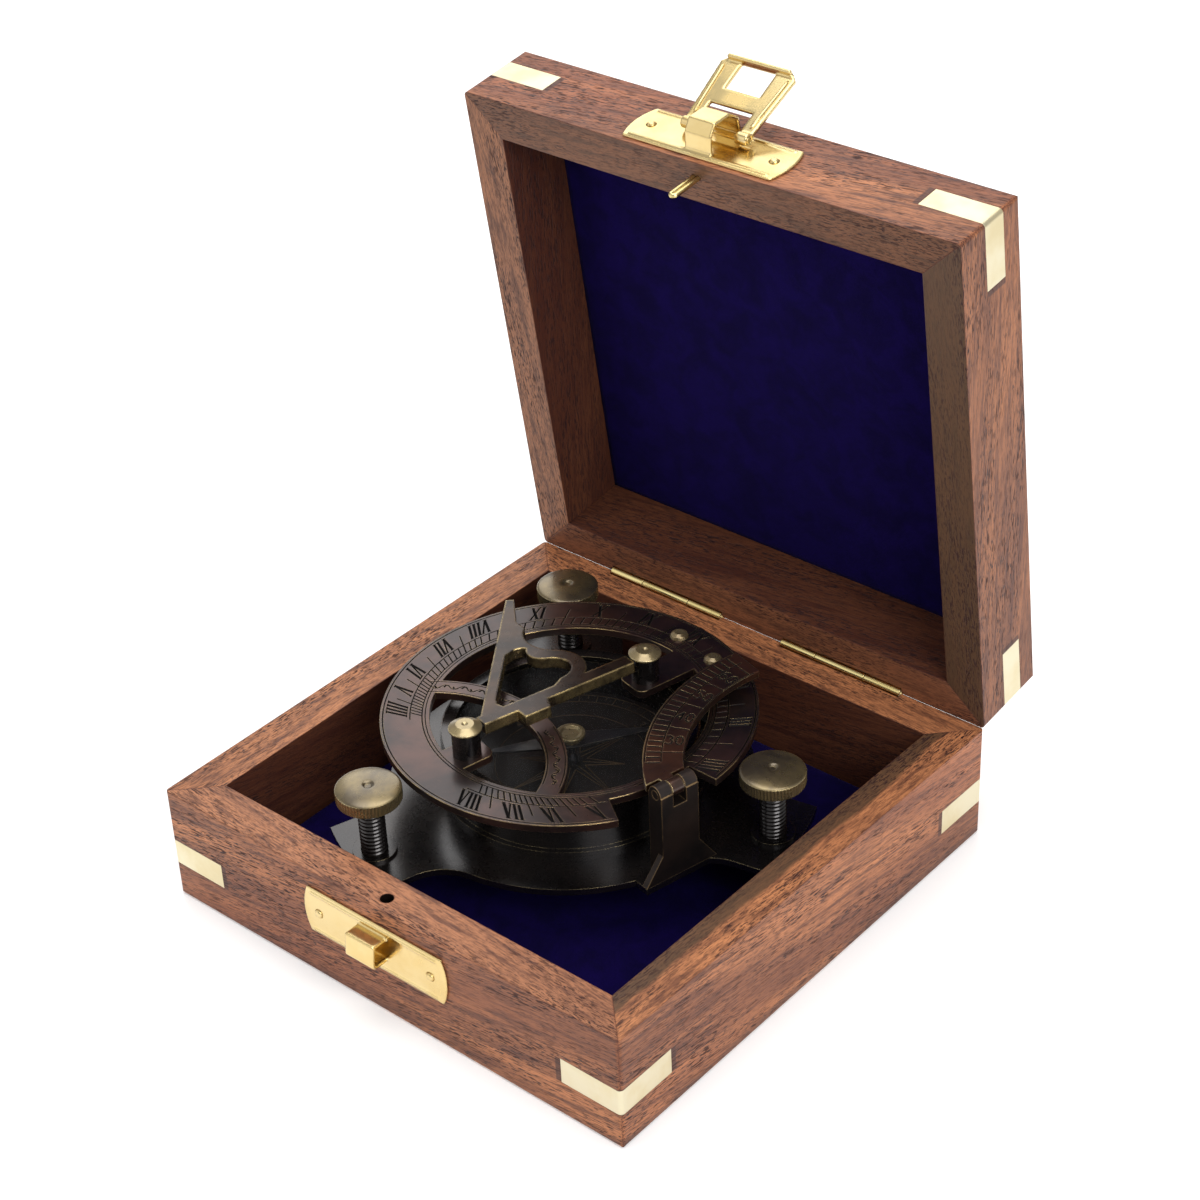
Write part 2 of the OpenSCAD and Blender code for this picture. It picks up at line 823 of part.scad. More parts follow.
module levelling_screw(i) {
    color(bronze) in_stand() at_screw(i) rotate_extrude() polygon([
        [0, tip_z], [screw_r/2, tip_z], [screw_r, tip_z + 2.2],
        [screw_r, head_top - head_t], [head_r - 0.4, head_top - head_t],
        [head_r, head_top - head_t + 0.4], [head_r, head_top - 1.1],
        [head_r - 0.6, head_top - 0.6], [head_r/3, head_top],
        [head_r/6, head_top], [0, head_top - 0.5]
    ]);
}

// Small countersunk screws come up from below
module small_screw(z, l) {
    translate([0, 0, z]) cylinder(r1 = screw_small_head_r, r2 = screw_small_r, h = 1);
    translate([0, 0, z]) cylinder(r = screw_small_r, h = l);
}

module screw_hole(z, l) {
    translate([0, 0, z]) cylinder(r1 = screw_small_head_r + fit, r2 = screw_small_r + fit, h = 1);
    translate([0, 0, z]) cylinder(r = screw_small_r + fit, h = l + bit);
}

module at_housing_screws() {
    for (i = [0, 1, 2]) rotate([0, 0, arm_first + i*arm_step])
        translate([housing_screw_ring, 0, 0]) children();
}

module at_bracket_screws() {
    for (s = [-1, 1]) translate([fork_x, fork_y + s*fork_w/4, 0]) children();
    both_sides(bracket_screw_x) translate([0, bracket_y, 0]) children();
}

module housing_screws() {
    color(steel) in_stand() at_housing_screws() small_screw(plate_z, housing_screw_l);
}

module bracket_screws() {
    color(steel) in_stand() at_bracket_screws() small_screw(plate_z, bracket_screw_l);
}

// Compass
module compass_housing() {
    color(bronze) in_stand() difference() {
        rotate_extrude() polygon([
            [0, plate_top], [housing_foot_r, plate_top],
            [housing_foot_r, plate_top + housing_foot_t],
            [housing_r, plate_top + housing_foot_t], [housing_r, housing_top],
            [housing_in + glass_rebate, housing_top], [housing_in + glass_rebate, glass_z],
            [housing_in, glass_z], [housing_in, dial_z], [0, dial_z]
        ]);
        at_housing_screws() screw_hole(plate_z, housing_screw_l - bit);
    }
}

module compass_dial() {
    color(bronze) in_stand() difference() {
        translate([0, 0, dial_z]) cylinder(r = housing_in - fit, h = dial_t);
        translate([0, 0, dial_z - bit]) cylinder(r = pivot_post_r + fit, h = dial_t + 2*bit);
    }
}

module compass_pivot() {
    color(steel) in_stand() rotate_extrude() polygon([
        [0, dial_z], [pivot_post_r, dial_z], [pivot_post_r, dial_z + dial_t + 1],
        [needle_hole_r - 0.4, dial_z + dial_t + 2.4],
        [needle_hole_r - 0.4, needle_z - 1], [0, cap_top - 1]
    ]);
}

module compass_glass() {
    color("lightcyan", 0.4) in_stand() translate([0, 0, glass_z])
        cylinder(r = housing_in + glass_rebate - run, h = glass_t);
}

module glass_retaining_ring() {
    color(bronze) in_stand() rotate_extrude() polygon([
        [housing_in - 0.8, housing_top], [housing_r, housing_top],
        [housing_r, housing_top + bezel_t/2], [housing_r - bezel_t/2, housing_top + bezel_t],
        [housing_in - 0.8, housing_top + bezel_t]
    ]);
}

module compass_needle() {
    color(steel) in_stand() rotate([0, 0, needle_turn]) translate([0, 0, needle_z])
        linear_extrude(needle_t) difference() {
            polygon([[-needle_l/2, 0], [0, -needle_w/2], [needle_l/2, 0], [0, needle_w/2]]);
            circle(needle_hole_r);
        }
}

module needle_cap() {
    color(brass) in_stand() rotate_extrude() polygon([
        [needle_hole_r, needle_z + needle_t], [cap_r - 0.9, needle_z + needle_t],
        [cap_r, cap_top - 0.6], [cap_r, cap_top], [cap_r - 0.8, cap_top],
        [cap_r - 1.3, cap_top - 0.4], [0, cap_top - 0.4], [0, cap_top - 0.9],
        [needle_hole_r, needle_z + needle_t + 0.2]
    ]);
}

// Fork that carries the latitude arc
module arc_bracket() {
    slot_z = arc_z - fork_slot;
    color(bronze) in_stand() difference() {
        union() {
            translate([fork_x, fork_y, (plate_top + arc_z)/2])
                cube([fork_d, fork_w, arc_z - plate_top], center = true);
            translate([fork_x, fork_y, arc_z]) rod_y(fork_top - arc_z, fork_w);
            for (s = [-1, 1]) translate([fork_x + fork_d/2, fork_y, plate_top])
                mirror([0, s > 0 ? 1 : 0, 0]) rotate([0, -90, 0]) linear_extrude(gusset_t)
                    polygon([[0, -fork_w/2 - gusset_w], [0, -fork_w/2 + 1],
                        [gusset_h, -fork_w/2 + 1], [gusset_h, -fork_w/2]]);
        }
        translate([fork_x, fork_y, slot_z + (fork_top - slot_z + bit)/2])
            cube([fork_d + bit, tongue_w + 2*run, fork_top - slot_z + bit], center = true);
        translate([fold_x, fork_y, arc_z]) rod_y(arc_pin_r + fit, fork_w + bit);
        at_bracket_screws() screw_hole(plate_z, bracket_screw_l - bit);
    }
}

module arc_pin() {
    color(bronze) in_stand() translate([fold_x, fork_y, arc_z]) rod_y(arc_pin_r, fork_w);
}

module arc_plan() {
    intersection() {
        difference() {
            circle(arc_r);
            circle(arc_r - arc_w);
        }
        rotate(arc_end) square([arc_r + bit, arc_r + bit]);
        translate([-arc_r - bit, -arc_r - bit])
            square([arc_foot - arc_x + arc_r + bit, 2*(arc_r + bit)]);
    }
}

module latitude_arc() {
    color(bronze) in_stand() difference() {
        union() {
            translate([arc_x, arc_y, arc_z]) linear_extrude(arc_t, center = true) arc_plan();
            translate([(arc_foot + fold_x)/2 - bit/2, fork_y, arc_z])
                cube([fold_x - arc_foot + bit, tongue_w, arc_t], center = true);
            translate([fold_x, fork_y, arc_z]) rod_y(fork_knuckle_r, tongue_w);
        }
        translate([fold_x, fork_y, arc_z]) rod_y(arc_pin_r + fit, tongue_w + bit);
    }
}

// Hour ring, with its crescent, the two tabs for the posts and a notch for the fork
module sector(r, from, to) {
    polygon([[0, 0], for (a = [from : (to - from)/4 : to + 0.01]) [r*cos(a), r*sin(a)]]);
}

// A tab that runs to y = to, with its two corners there rounded
module ring_tab(x, from, to) {
    in = (to > from) ? -tab_round : tab_round;
    polygon([
        [x - tab_w/2, from], [x + tab_w/2, from],
        for (a = [0 : 15 : 90])
            [x + tab_w/2 - tab_round*(1 - cos(a)), to + in*(1 - sin(a))],
        for (a = [90 : -15 : 0])
            [x - tab_w/2 + tab_round*(1 - cos(a)), to + in*(1 - sin(a))]
    ]);
}

module ring_outline() {
    difference() {
        circle(ring_r);
        circle(ring_in);
        difference() {
            sector(1.1*ring_r, notch_from, notch_to);
            circle(notch_r);
        }
    }
    intersection() {
        circle(ring_in + 0.2);
        union() {
            translate([crescent_x, -crescent_back]) difference() {
                circle(crescent_r);
                circle(crescent_r - crescent_w);
            }
            ring_tab(post_front_x, -ring_r, tab_past - post_front);
            ring_tab(post_back_x, ring_r, post_back - tab_past);
        }
    }
}

module at_posts() {
    translate([post_front_x, -post_front, 0]) children();
    translate([post_back_x, post_back, 0]) children();
}

module at_rivets() {
    both_sides(rivet_x) translate([0, rivet_y, 0]) children();
}

module hour_ring() {
    color(bronze) in_stand() difference() {
        translate([0, 0, ring_z]) linear_extrude(ring_t) ring_outline();
        at_posts() translate([0, 0, ring_z - bit])
            cylinder(r = spigot_r + fit, h = ring_t + 2*bit);
        at_rivets() translate([0, 0, ring_z - bit])
            cylinder(r = rivet_r + fit, h = ring_t + 2*bit);
    }
}

// Hinge between the hour ring and the plate
module ring_hinge_leaf() {
    color(bronze) in_stand() difference() {
        union() {
            translate([-leaf_l/2, leaf_from, ring_z - tilt_leaf_t])
                cube([leaf_l, leaf_to - leaf_from, tilt_leaf_t]);
            translate([0, tilt_y, tilt_z]) rod_x(knuckle_r, 2*lug_half);
            translate([-lug_half, tilt_y - knuckle_r, tilt_z])
                cube([2*lug_half, 2*knuckle_r, tilt_down - tilt_leaf_t/2]);
        }
        translate([0, tilt_y, tilt_z]) rod_x(tilt_pin_r + fit, 2*lug_half + bit);
        at_rivets() translate([0, 0, ring_z - tilt_leaf_t - bit])
            cylinder(r = rivet_r + fit, h = tilt_leaf_t + 2*bit);
    }
}

module ring_hinge_rivets() {
    color(bronze) in_stand() at_rivets() rotate_extrude() polygon([
        [0, ring_z - tilt_leaf_t], [rivet_r, ring_z - tilt_leaf_t], [rivet_r, ring_top],
        [rivet_head_r, ring_top], [0.86*rivet_head_r, ring_top + 0.6*rivet_head_t],
        [0.5*rivet_head_r, ring_top + rivet_head_t], [0, ring_top + rivet_head_t]
    ]);
}

module ring_hinge_bracket() {
    web_top = tilt_z - knuckle_r - 0.4;
    color(bronze) in_stand() difference() {
        union() {
            translate([-bracket_foot_w/2, bracket_y - 2*knuckle_r, plate_top])
                cube([bracket_foot_w, 4*knuckle_r - 0.6, bracket_foot_t]);
            translate([-bracket_l/2, bracket_y - knuckle_r, plate_top])
                cube([bracket_l, 2*knuckle_r, web_top - plate_top]);
            both_sides(lug_half + lug_room + lug_t/2) {
                translate([0, tilt_y, (web_top + tilt_z)/2])
                    cube([lug_t, 2*knuckle_r, tilt_z - web_top + 0.02], center = true);
                translate([0, tilt_y, tilt_z]) rod_x(knuckle_r, lug_t);
            }
        }
        translate([0, tilt_y, tilt_z]) rod_x(tilt_pin_r + fit, bracket_l + bit);
        at_bracket_screws() screw_hole(plate_z, bracket_screw_l - bit);
    }
}

module ring_hinge_pin() {
    color(steel) in_stand() translate([0, tilt_y, tilt_z]) rod_x(tilt_pin_r, bracket_l);
}

// Gnomon and its posts
module post(x, y, inward) {
    color(bronze) in_stand() translate([x, y, 0]) difference() {
        union() {
            translate([0, 0, ring_z]) cylinder(r = spigot_r, h = ring_t + bit);
            translate([0, 0, ring_top]) cylinder(r = post_r, h = post_top - ring_top);
        }
        rotate([0, 0, -pivot_turn]) translate([0, inward*(post_r + bit)/2, pivot_z])
            rod_y(pivot_r + fit, post_r + bit);
    }
}

module gnomon_post_front() { post(post_front_x, -post_front, 1); }
module gnomon_post_back() { post(post_back_x, post_back, -1); }

module gnomon_post_caps() {
    color(brass) in_stand() at_posts() translate([0, 0, post_top])
        rotate_extrude() polygon([
            [0, 0], [knob_r, 0], [knob_r, 0.3*knob_t], [0.55*knob_r, knob_t],
            [0.2*knob_r, knob_t], [0, 0.75*knob_t]
        ]);
}

// Plan of the gnomon as [distance from the pivot line, distance along it]
module gnomon_plan() {
    t = 1/tan(style_angle);
    inner = style_foot + style_w/sin(style_angle);
    tip_v = style_foot + gnomon_reach*t;
    difference() {
        union() {
            translate([-bar_w/2, bar_from]) square([bar_w, bar_to - bar_from]);
            translate(loop_c) circle(loop_out_r);
            polygon([
                [-bar_w/2, bar_from], [0.4, bar_from], [gnomon_reach, tip_v],
                [gnomon_reach - 1.2, tip_v + 1.6], [shoulder_u[1], shoulder_v],
                [shoulder_u[0], shoulder_v], hollow_c, loop_c, [0, 20]
            ]);
        }
        translate(hollow_c) circle(norm(hollow_c - loop_c) - loop_out_r);
        difference() {
            union() {
                translate(loop_c) circle(loop_in_r);
                polygon([
                    [bar_w/2, inner + 1.8*t + 2.6], [3.6, inner + 3.6*t + 0.6],
                    [5.4, inner + 5.4*t], [eye_tip[0] - 0.8, inner + (eye_tip[0] - 0.8)*t],
                    eye_tip, [eye_tip[0] - 0.4, eye_tip[1] + 1.6], bulge_c, loop_c,
                    [loop_c[0] - loop_in_r, loop_c[1]], [bar_w/2, 24]
                ]);
            }
            translate(bulge_c) circle(norm(bulge_c - loop_c) - loop_in_r);
        }
    }
}

module gnomon() {
    color(bronze) in_gnomon() difference() {
        mirror([1, 0, 0]) {
            linear_extrude(gnomon_t, center = true) gnomon_plan();
            linear_extrude(gnomon_t, center = true) polygon([
                [0, stop_from], [-stop_out, stop_from], [-stop_out, stop_to], [0, stop_to + 2]
            ]);
        }
        for (y = [bar_from, bar_to]) translate([0, y, 0])
            rod_y(pivot_r + fit, 2*pin_in_bar);
    }
}

module gnomon_pins() {
    from = post_r - pin_in_post;
    to = post_gap - from;
    color(steel) in_gnomon() {
        translate([0, (from + bar_from + pin_in_bar)/2, 0])
            rod_y(pivot_r, bar_from + pin_in_bar - from);
        translate([0, (to + bar_to - pin_in_bar)/2, 0])
            rod_y(pivot_r, to - bar_to + pin_in_bar);
    }
}

base_front_board();
base_back_board();
base_left_board();
base_right_board();
base_floor_panel();
base_velvet_lining();
base_corner_inlays();
base_catch_plate();
base_catch_nails();
hinge_base_leaves();
hinge_pins();
hinge_base_nails();
lid_front_board();
lid_back_board();
lid_left_board();
lid_right_board();
lid_top_panel();
lid_velvet_lining();
lid_corner_inlays();
hinge_lid_leaves();
hinge_lid_nails();
latch_plate();
latch_nails();
lid_locating_pin();
hasp_pin();
hasp();
tripod_plate();
levelling_bushes();
compass_housing();
housing_screws();
compass_dial();
compass_pivot();
compass_glass();
glass_retaining_ring();
arc_bracket();
arc_pin();
ring_hinge_bracket();
ring_hinge_pin();
bracket_screws();
levelling_screw(0);  // levelling_screw_front
levelling_screw(1);  // levelling_screw_right
levelling_screw(2);  // levelling_screw_back
compass_needle();
needle_cap();
latitude_arc();
hour_ring();
ring_hinge_leaf();
ring_hinge_rivets();
gnomon_post_front();
gnomon_post_back();
gnomon_post_caps();
gnomon();
gnomon_pins();
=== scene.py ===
"""Looks of the sundial compass: camera, light, materials, engraving, velvet, knurls and threads."""
import math

import bmesh
import bpy
from mathutils import Matrix, Vector


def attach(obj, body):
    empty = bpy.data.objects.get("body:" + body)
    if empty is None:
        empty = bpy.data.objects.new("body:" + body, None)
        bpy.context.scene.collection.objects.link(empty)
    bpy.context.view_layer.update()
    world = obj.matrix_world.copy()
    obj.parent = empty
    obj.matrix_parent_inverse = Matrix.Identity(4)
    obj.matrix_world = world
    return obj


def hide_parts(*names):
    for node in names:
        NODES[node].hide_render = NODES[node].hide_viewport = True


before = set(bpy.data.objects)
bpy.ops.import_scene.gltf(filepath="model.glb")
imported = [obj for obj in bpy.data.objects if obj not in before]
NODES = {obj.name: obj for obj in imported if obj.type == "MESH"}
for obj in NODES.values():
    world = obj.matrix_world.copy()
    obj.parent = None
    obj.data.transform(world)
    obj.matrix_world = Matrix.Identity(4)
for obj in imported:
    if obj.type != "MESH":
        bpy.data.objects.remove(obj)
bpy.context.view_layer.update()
MM = 0.001


def link(obj):
    bpy.context.scene.collection.objects.link(obj)
    return obj


# Camera, solved from the corners of the box in the photograph
cam_data = bpy.data.cameras.new("camera")
cam_data.lens = 79.77
cam_data.sensor_width = 36
cam = link(bpy.data.objects.new("camera", cam_data))
cam.location = Vector((317.82, -345.86, 384.54)) * MM
cam.rotation_euler = [math.radians(angle) for angle in (56.2527, 2.2784, 40.2309)]
bpy.context.scene.camera = cam


def area(name, place, size, watts):
    """A square soft light that faces the box."""
    data = bpy.data.lights.new(name, "AREA")
    data.energy = watts
    data.size = size
    lamp = link(bpy.data.objects.new(name, data))
    lamp.location = place
    aim = Vector((0, 0, 0.05)) - lamp.location
    lamp.rotation_euler = aim.to_track_quat("-Z", "Y").to_euler()


area("key", (0.9, -0.35, 0.75), 0.7, 8)
area("fill", (-0.7, -0.75, 0.6), 0.9, 1.6)
area("top", (-0.1, 0.15, 1.1), 0.8, 6.2)
area("back", (-0.78, 0.86, 0.82), 0.9, 4.2)

world = bpy.data.worlds.new("world")
bpy.context.scene.world = world
world.use_nodes = True
world.node_tree.nodes["Background"].inputs[0].default_value = (1, 1, 1, 1)
world.node_tree.nodes["Background"].inputs[1].default_value = 0.5
bpy.context.scene.view_settings.view_transform = "Standard"


class Tree:
    """A material's node tree, with short calls that make and join nodes."""

    def __init__(self, name):
        self.mat = bpy.data.materials.new(name)
        self.mat.use_nodes = True
        self.nt = self.mat.node_tree
        self.nt.nodes.clear()
        self.bsdf = self.nt.nodes.new("ShaderNodeBsdfPrincipled")
        out = self.nt.nodes.new("ShaderNodeOutputMaterial")
        self.nt.links.new(self.bsdf.outputs[0], out.inputs[0])

    def put(self, socket, value):
        if isinstance(value, bpy.types.NodeSocket):
            self.nt.links.new(value, socket)
        else:
            socket.default_value = value

    def shader(self, **values):
        for key, value in values.items():
            self.put(self.bsdf.inputs[key.replace("_", " ")], value)
        return self.mat

    def node(self, kind, inputs=(), out=0, **settings):
        n = self.nt.nodes.new("ShaderNode" + kind)
        for key, value in settings.items():
            setattr(n, key, value)
        for key, value in dict(inputs).items():
            self.put(n.inputs[key], value)
        return n.outputs[out]

    def math(self, operation, a, b=0.0, clamp=False):
        return self.node("Math", {0: a, 1: b}, operation=operation, use_clamp=clamp)

    def times(self, *values):
        total = values[0]
        for value in values[1:]:
            total = self.math("MULTIPLY", total, value)
        return total

    def noise(self, vector, scale, detail=3.0, roughness=0.5, distortion=0.0):
        return self.node("TexNoise", {
            "Vector": vector, "Scale": scale, "Detail": detail, "Roughness": roughness,
            "Distortion": distortion})

    def step(self, value, low, high):
        """0 at low and 1 at high."""
        return self.node("MapRange", {
            "Value": value, "From Min": low, "From Max": high, "To Min": 0.0, "To Max": 1.0},
            interpolation_type="SMOOTHSTEP")

    def mix(self, factor, a, b):
        n = self.nt.nodes.new("ShaderNodeMix")
        n.data_type = "RGBA"
        n.clamp_factor = True
        self.put(n.inputs[0], factor)
        self.put(n.inputs[6], a if isinstance(a, bpy.types.NodeSocket) else (*a, 1))
        self.put(n.inputs[7], b if isinstance(b, bpy.types.NodeSocket) else (*b, 1))
        return n.outputs[2]

    def edge(self, radius, low=0.01, high=0.16, samples=6):
        """1 along sharp edges, from how far a rounded normal leans from the flat one."""
        round_normal = self.node("Bevel", {"Radius": radius}, samples=samples)
        flat = self.node("NewGeometry", out=1)
        dot = self.node("VectorMath", {0: round_normal, 1: flat}, out=1, operation="DOT_PRODUCT")
        return self.step(self.math("SUBTRACT", 1.0, dot), low, high)

    def bump(self, height, distance, strength, normal):
        return self.node("Bump", {
            "Height": height, "Distance": distance, "Strength": strength, "Normal": normal})


def srgb(r, g, b):
    def linear(c):
        c /= 255
        return c / 12.92 if c <= 0.04045 else ((c + 0.055) / 1.055) ** 2.4
    return (linear(r), linear(g), linear(b))


# Lid: its hinge line, how far it stands open, and the way back to the closed box
LID_OPEN = math.radians(82.2)
HINGE = Vector((0, 63.52, 29.01)) * MM
LID = Matrix.Translation(HINGE) @ Matrix.Rotation(-LID_OPEN, 4, "X") @ Matrix.Translation(
    -HINGE)
LID_BACK = LID.inverted().translation

# Half sizes of the box inside and outside, length of the inlays and their heights
INNER_X, INNER_Y = 0.0555, 0.054
OUTER_X, OUTER_Y = 0.065, 0.0635
INLAY = 0.0157
INLAY_Z = {False: 0.0124, True: 0.04052}
PIN_HOLE = (-0.0005, -0.0599, 0)


def wood(name, along_y, in_lid, shift, rim_colour, olive=0.0, olive_width=0.02, shade=0.0):
    """Oiled brown hardwood: slanted grain, short dark vessels, painted shade darkening the inner
    faces.

    olive is how much of the rim, from its inner edge outwards, is darker olive brown.
    shade is how much darker the whole board is.
    """
    t = Tree(name)
    point = t.node("TexCoord", out=3)
    normal = t.node("TexCoord", out=1)
    if in_lid:
        point = t.node("Mapping", {
            "Vector": point, "Rotation": (LID_OPEN, 0, 0), "Location": LID_BACK})
        normal = t.node("Mapping", {"Vector": normal, "Rotation": (LID_OPEN, 0, 0)})
    flat = t.node("VectorMath", {0: point, 1: (1, 1, 0)}, operation="MULTIPLY")
    facing = t.node("VectorMath", {0: flat, 1: normal}, out=1, operation="DOT_PRODUCT")
    painted_shade_inside = t.step(facing, -0.01, -0.03)
    outside = t.step(facing, 0.01, 0.03)
    across = t.math("ABSOLUTE", t.node("SeparateXYZ", {0: point}, out=0 if along_y else 1))
    along = t.math("ABSOLUTE", t.node("SeparateXYZ", {0: point}, out=1 if along_y else 0))
    height = t.node("SeparateXYZ", {0: point}, out=2)
    rim = t.node("SeparateXYZ", {0: normal}, out=2)
    rim = t.step(t.math("MULTIPLY", rim, -1.0) if in_lid else rim, 0.8, 0.95)

    if along_y:
        point = t.node("Mapping", {"Vector": point, "Rotation": (0, 0, math.pi/2)})
    point = t.node("Mapping", {"Vector": point, "Rotation": (0, 0.13, 0.05), "Location": shift})

    def grain(length, width, detail, roughness=0.55, distortion=0.0):
        v = t.node("Mapping", {"Vector": point, "Scale": (length, width, width)})
        return t.noise(v, 1.0, detail, roughness, distortion)

    bands = grain(7, 62, 3.0, 0.5, 1.0)
    broad = grain(4, 26, 2.0)
    streaks = grain(34, 640, 3.0, 0.6)
    fibre = grain(80, 2400, 3.0, 0.7)
    crowd = t.step(grain(16, 150, 2.0), 0.34, 0.66)
    vessels = t.times(t.step(grain(300, 2700, 1.5), 0.53, 0.65), t.math("ADD", crowd, 0.4))
    flecks = t.times(t.step(grain(520, 4200, 1.0), 0.56, 0.66), t.math("ADD", crowd, 0.4))

    colour = t.mix(t.step(bands, 0.36, 0.66), srgb(194, 126, 83), srgb(136, 84, 57))
    colour = t.mix(t.times(t.step(broad, 0.45, 0.7), 0.5), colour, srgb(150, 84, 58))
    colour = t.mix(t.times(rim, 0.62), colour, rim_colour)
    if shade:
        colour = t.mix(shade, colour, srgb(70, 42, 34))
    colour = t.mix(t.times(t.step(streaks, 0.44, 0.7), 0.75), colour, srgb(88, 53, 43))
    colour = t.mix(t.times(t.step(fibre, 0.42, 0.72), 0.72), colour, srgb(80, 48, 40))
    wobble = t.times(t.noise(point, 60, 3.0), 0.004)
    olive_band = t.math("SUBTRACT", across, INNER_X if along_y else INNER_Y)
    olive_band = t.step(t.math("ADD", olive_band, wobble), olive_width + 0.0028, olive_width + 0.0014)
    colour = t.mix(t.times(olive_band, rim, olive), colour, srgb(78, 60, 44))
    # painted shade: the faces turned towards the box's middle are darkened as if in shadow
    colour = t.mix(t.times(painted_shade_inside, 0.82), colour, srgb(64, 32, 25))
    colour = t.mix(t.times(vessels, 0.66), colour, srgb(54, 31, 27))
    colour = t.mix(t.times(flecks, 0.8), colour, srgb(50, 29, 28))
    end = (OUTER_Y if along_y else OUTER_X) - INLAY
    slot = t.times(t.step(along, end - 0.0016, end - 0.0012), t.step(along, end + 0.0004, end),
                   t.step(t.math("ABSOLUTE", t.math("SUBTRACT", height, INLAY_Z[in_lid])),
                          0.0034, 0.0029), outside)
    colour = t.mix(t.times(slot, 0.75), colour, srgb(66, 42, 38))
    if not in_lid:
        # painted shade: the walls of the locating pin's hole are painted near black
        painted_shade_hole = t.node("VectorMath", {0: flat, 1: PIN_HOLE}, out=1, operation="DISTANCE")
        painted_shade_hole = t.times(t.step(painted_shade_hole, 0.00165, 0.00155), t.math("SUBTRACT", 1.0, rim))
        colour = t.mix(painted_shade_hole, colour, srgb(20, 12, 10))
        # painted shadow: darker towards the foot of the base boards, most on the left and right
        # sides
        painted_shadow_foot = t.step(t.math("ADD", height, wobble), 0.0048, 0.0036)
        colour = t.mix(t.times(painted_shadow_foot, 0.5 if along_y else 0.2), colour, srgb(70, 50, 46))
    colour = t.mix(t.times(t.edge(0.0006, 0.02, 0.3), 0.5), colour, srgb(92, 44, 36))
    relief = t.math("SUBTRACT", t.times(fibre, 0.4), vessels)
    t.shader(
        Base_Color=colour, Roughness=t.math("ADD", 0.44, t.times(vessels, 0.2)),
        Normal=t.bump(relief, 0.00006, 0.7, t.node("Bevel", {"Radius": 0.0004}, samples=4)),
        Specular_IOR_Level=0.25)
    return t.mat


def brass(name, colour, roughness, brushed=0.15, bevel=0.00025):
    """Brass with faint clouds, brushed lines and slightly warmer edges."""
    t = Tree(name)
    p = t.node("TexCoord", out=3)
    cloud = t.noise(p, 90, 4.0, 0.6)
    smear = t.noise(t.node("Mapping", {"Vector": p, "Scale": (400, 4000, 4000)}), 1.0, 3.0, 0.7)
    warm = tuple(c * k for c, k in zip(colour, (0.95, 0.9, 0.78)))
    base = t.mix(t.step(cloud, 0.35, 0.7), colour, warm)
    base = t.mix(t.times(t.edge(bevel * 1.6, 0.02, 0.25, 4), 0.25), base, (0.6, 0.42, 0.18))
    return t.shader(
        Base_Color=base, Metallic=1.0,
        Roughness=t.math("ADD", roughness, t.times(t.step(cloud, 0.4, 0.75), 0.12)),
        Normal=t.bump(smear, 0.00002, brushed, t.node("Bevel", {"Radius": bevel}, samples=6)))


def bronze(name, body, tint, wear, bevel=0.0004, gloss=0.22, wear_amount=1.0, walls=0.0,
           coat=0.6):
    """Dark lacquered patina that varies, rubbed through to brass along the edges.

    walls is how far the upright faces are rubbed bright too.
    """
    t = Tree(name)
    p = t.node("TexCoord", out=3)
    cloud = t.noise(p, 60, 5.0, 0.6, 0.4)
    spots = t.noise(p, 420, 3.0, 0.6)
    fine = t.noise(p, 2600, 3.0, 0.6)
    base = t.mix(t.step(cloud, 0.35, 0.68), body, tint)
    base = t.mix(t.times(t.step(spots, 0.55, 0.75), 0.4), base, tint)
    patches = t.step(t.noise(p, 160, 4.0, 0.65), 0.34, 0.6)
    rubbed = t.times(t.edge(bevel, 0.012, 0.22, 6), patches, wear_amount)
    if walls:
        up = t.math("ABSOLUTE", t.node("SeparateXYZ", {0: t.node("TexCoord", out=1)}, out=2))
        rubbed = t.math("MAXIMUM", rubbed, t.times(t.step(up, 0.8, 0.4), patches, walls))
    base = t.mix(rubbed, base, wear)
    rough = t.math("ADD", gloss, t.times(spots, 0.18))
    return t.shader(
        Base_Color=base, Metallic=t.math("ADD", 0.75, t.times(rubbed, 0.25)),
        Roughness=t.math("SUBTRACT", rough, t.times(rubbed, 0.08)),
        Normal=t.bump(fine, 0.00002, 0.2, t.node("Bevel", {"Radius": bevel * 0.7}, samples=6)),
        Coat_Weight=coat, Coat_Roughness=0.2)


def velvet(name):
    t = Tree(name)
    p = t.node("TexCoord", out=3)
    nap = t.noise(p, 130, 4.0, 0.6, 0.5)
    pile = t.noise(p, 5200, 2.0, 0.7)
    base = t.mix(t.step(nap, 0.3, 0.7), srgb(13, 6, 52), srgb(19, 8, 70))
    base = t.mix(t.times(t.step(pile, 0.4, 0.7), 0.5), base, srgb(7, 4, 26))
    return t.shader(
        Base_Color=base, Roughness=0.95, Specular_IOR_Level=0.05,
        Sheen_Weight=0.06, Sheen_Roughness=0.45, Sheen_Tint=(0.25, 0.2, 0.7, 1),
        Normal=t.bump(t.math("ADD", pile, t.times(nap, 0.6)), 0.00025, 0.6,
                      t.node("NewGeometry", out=1)))


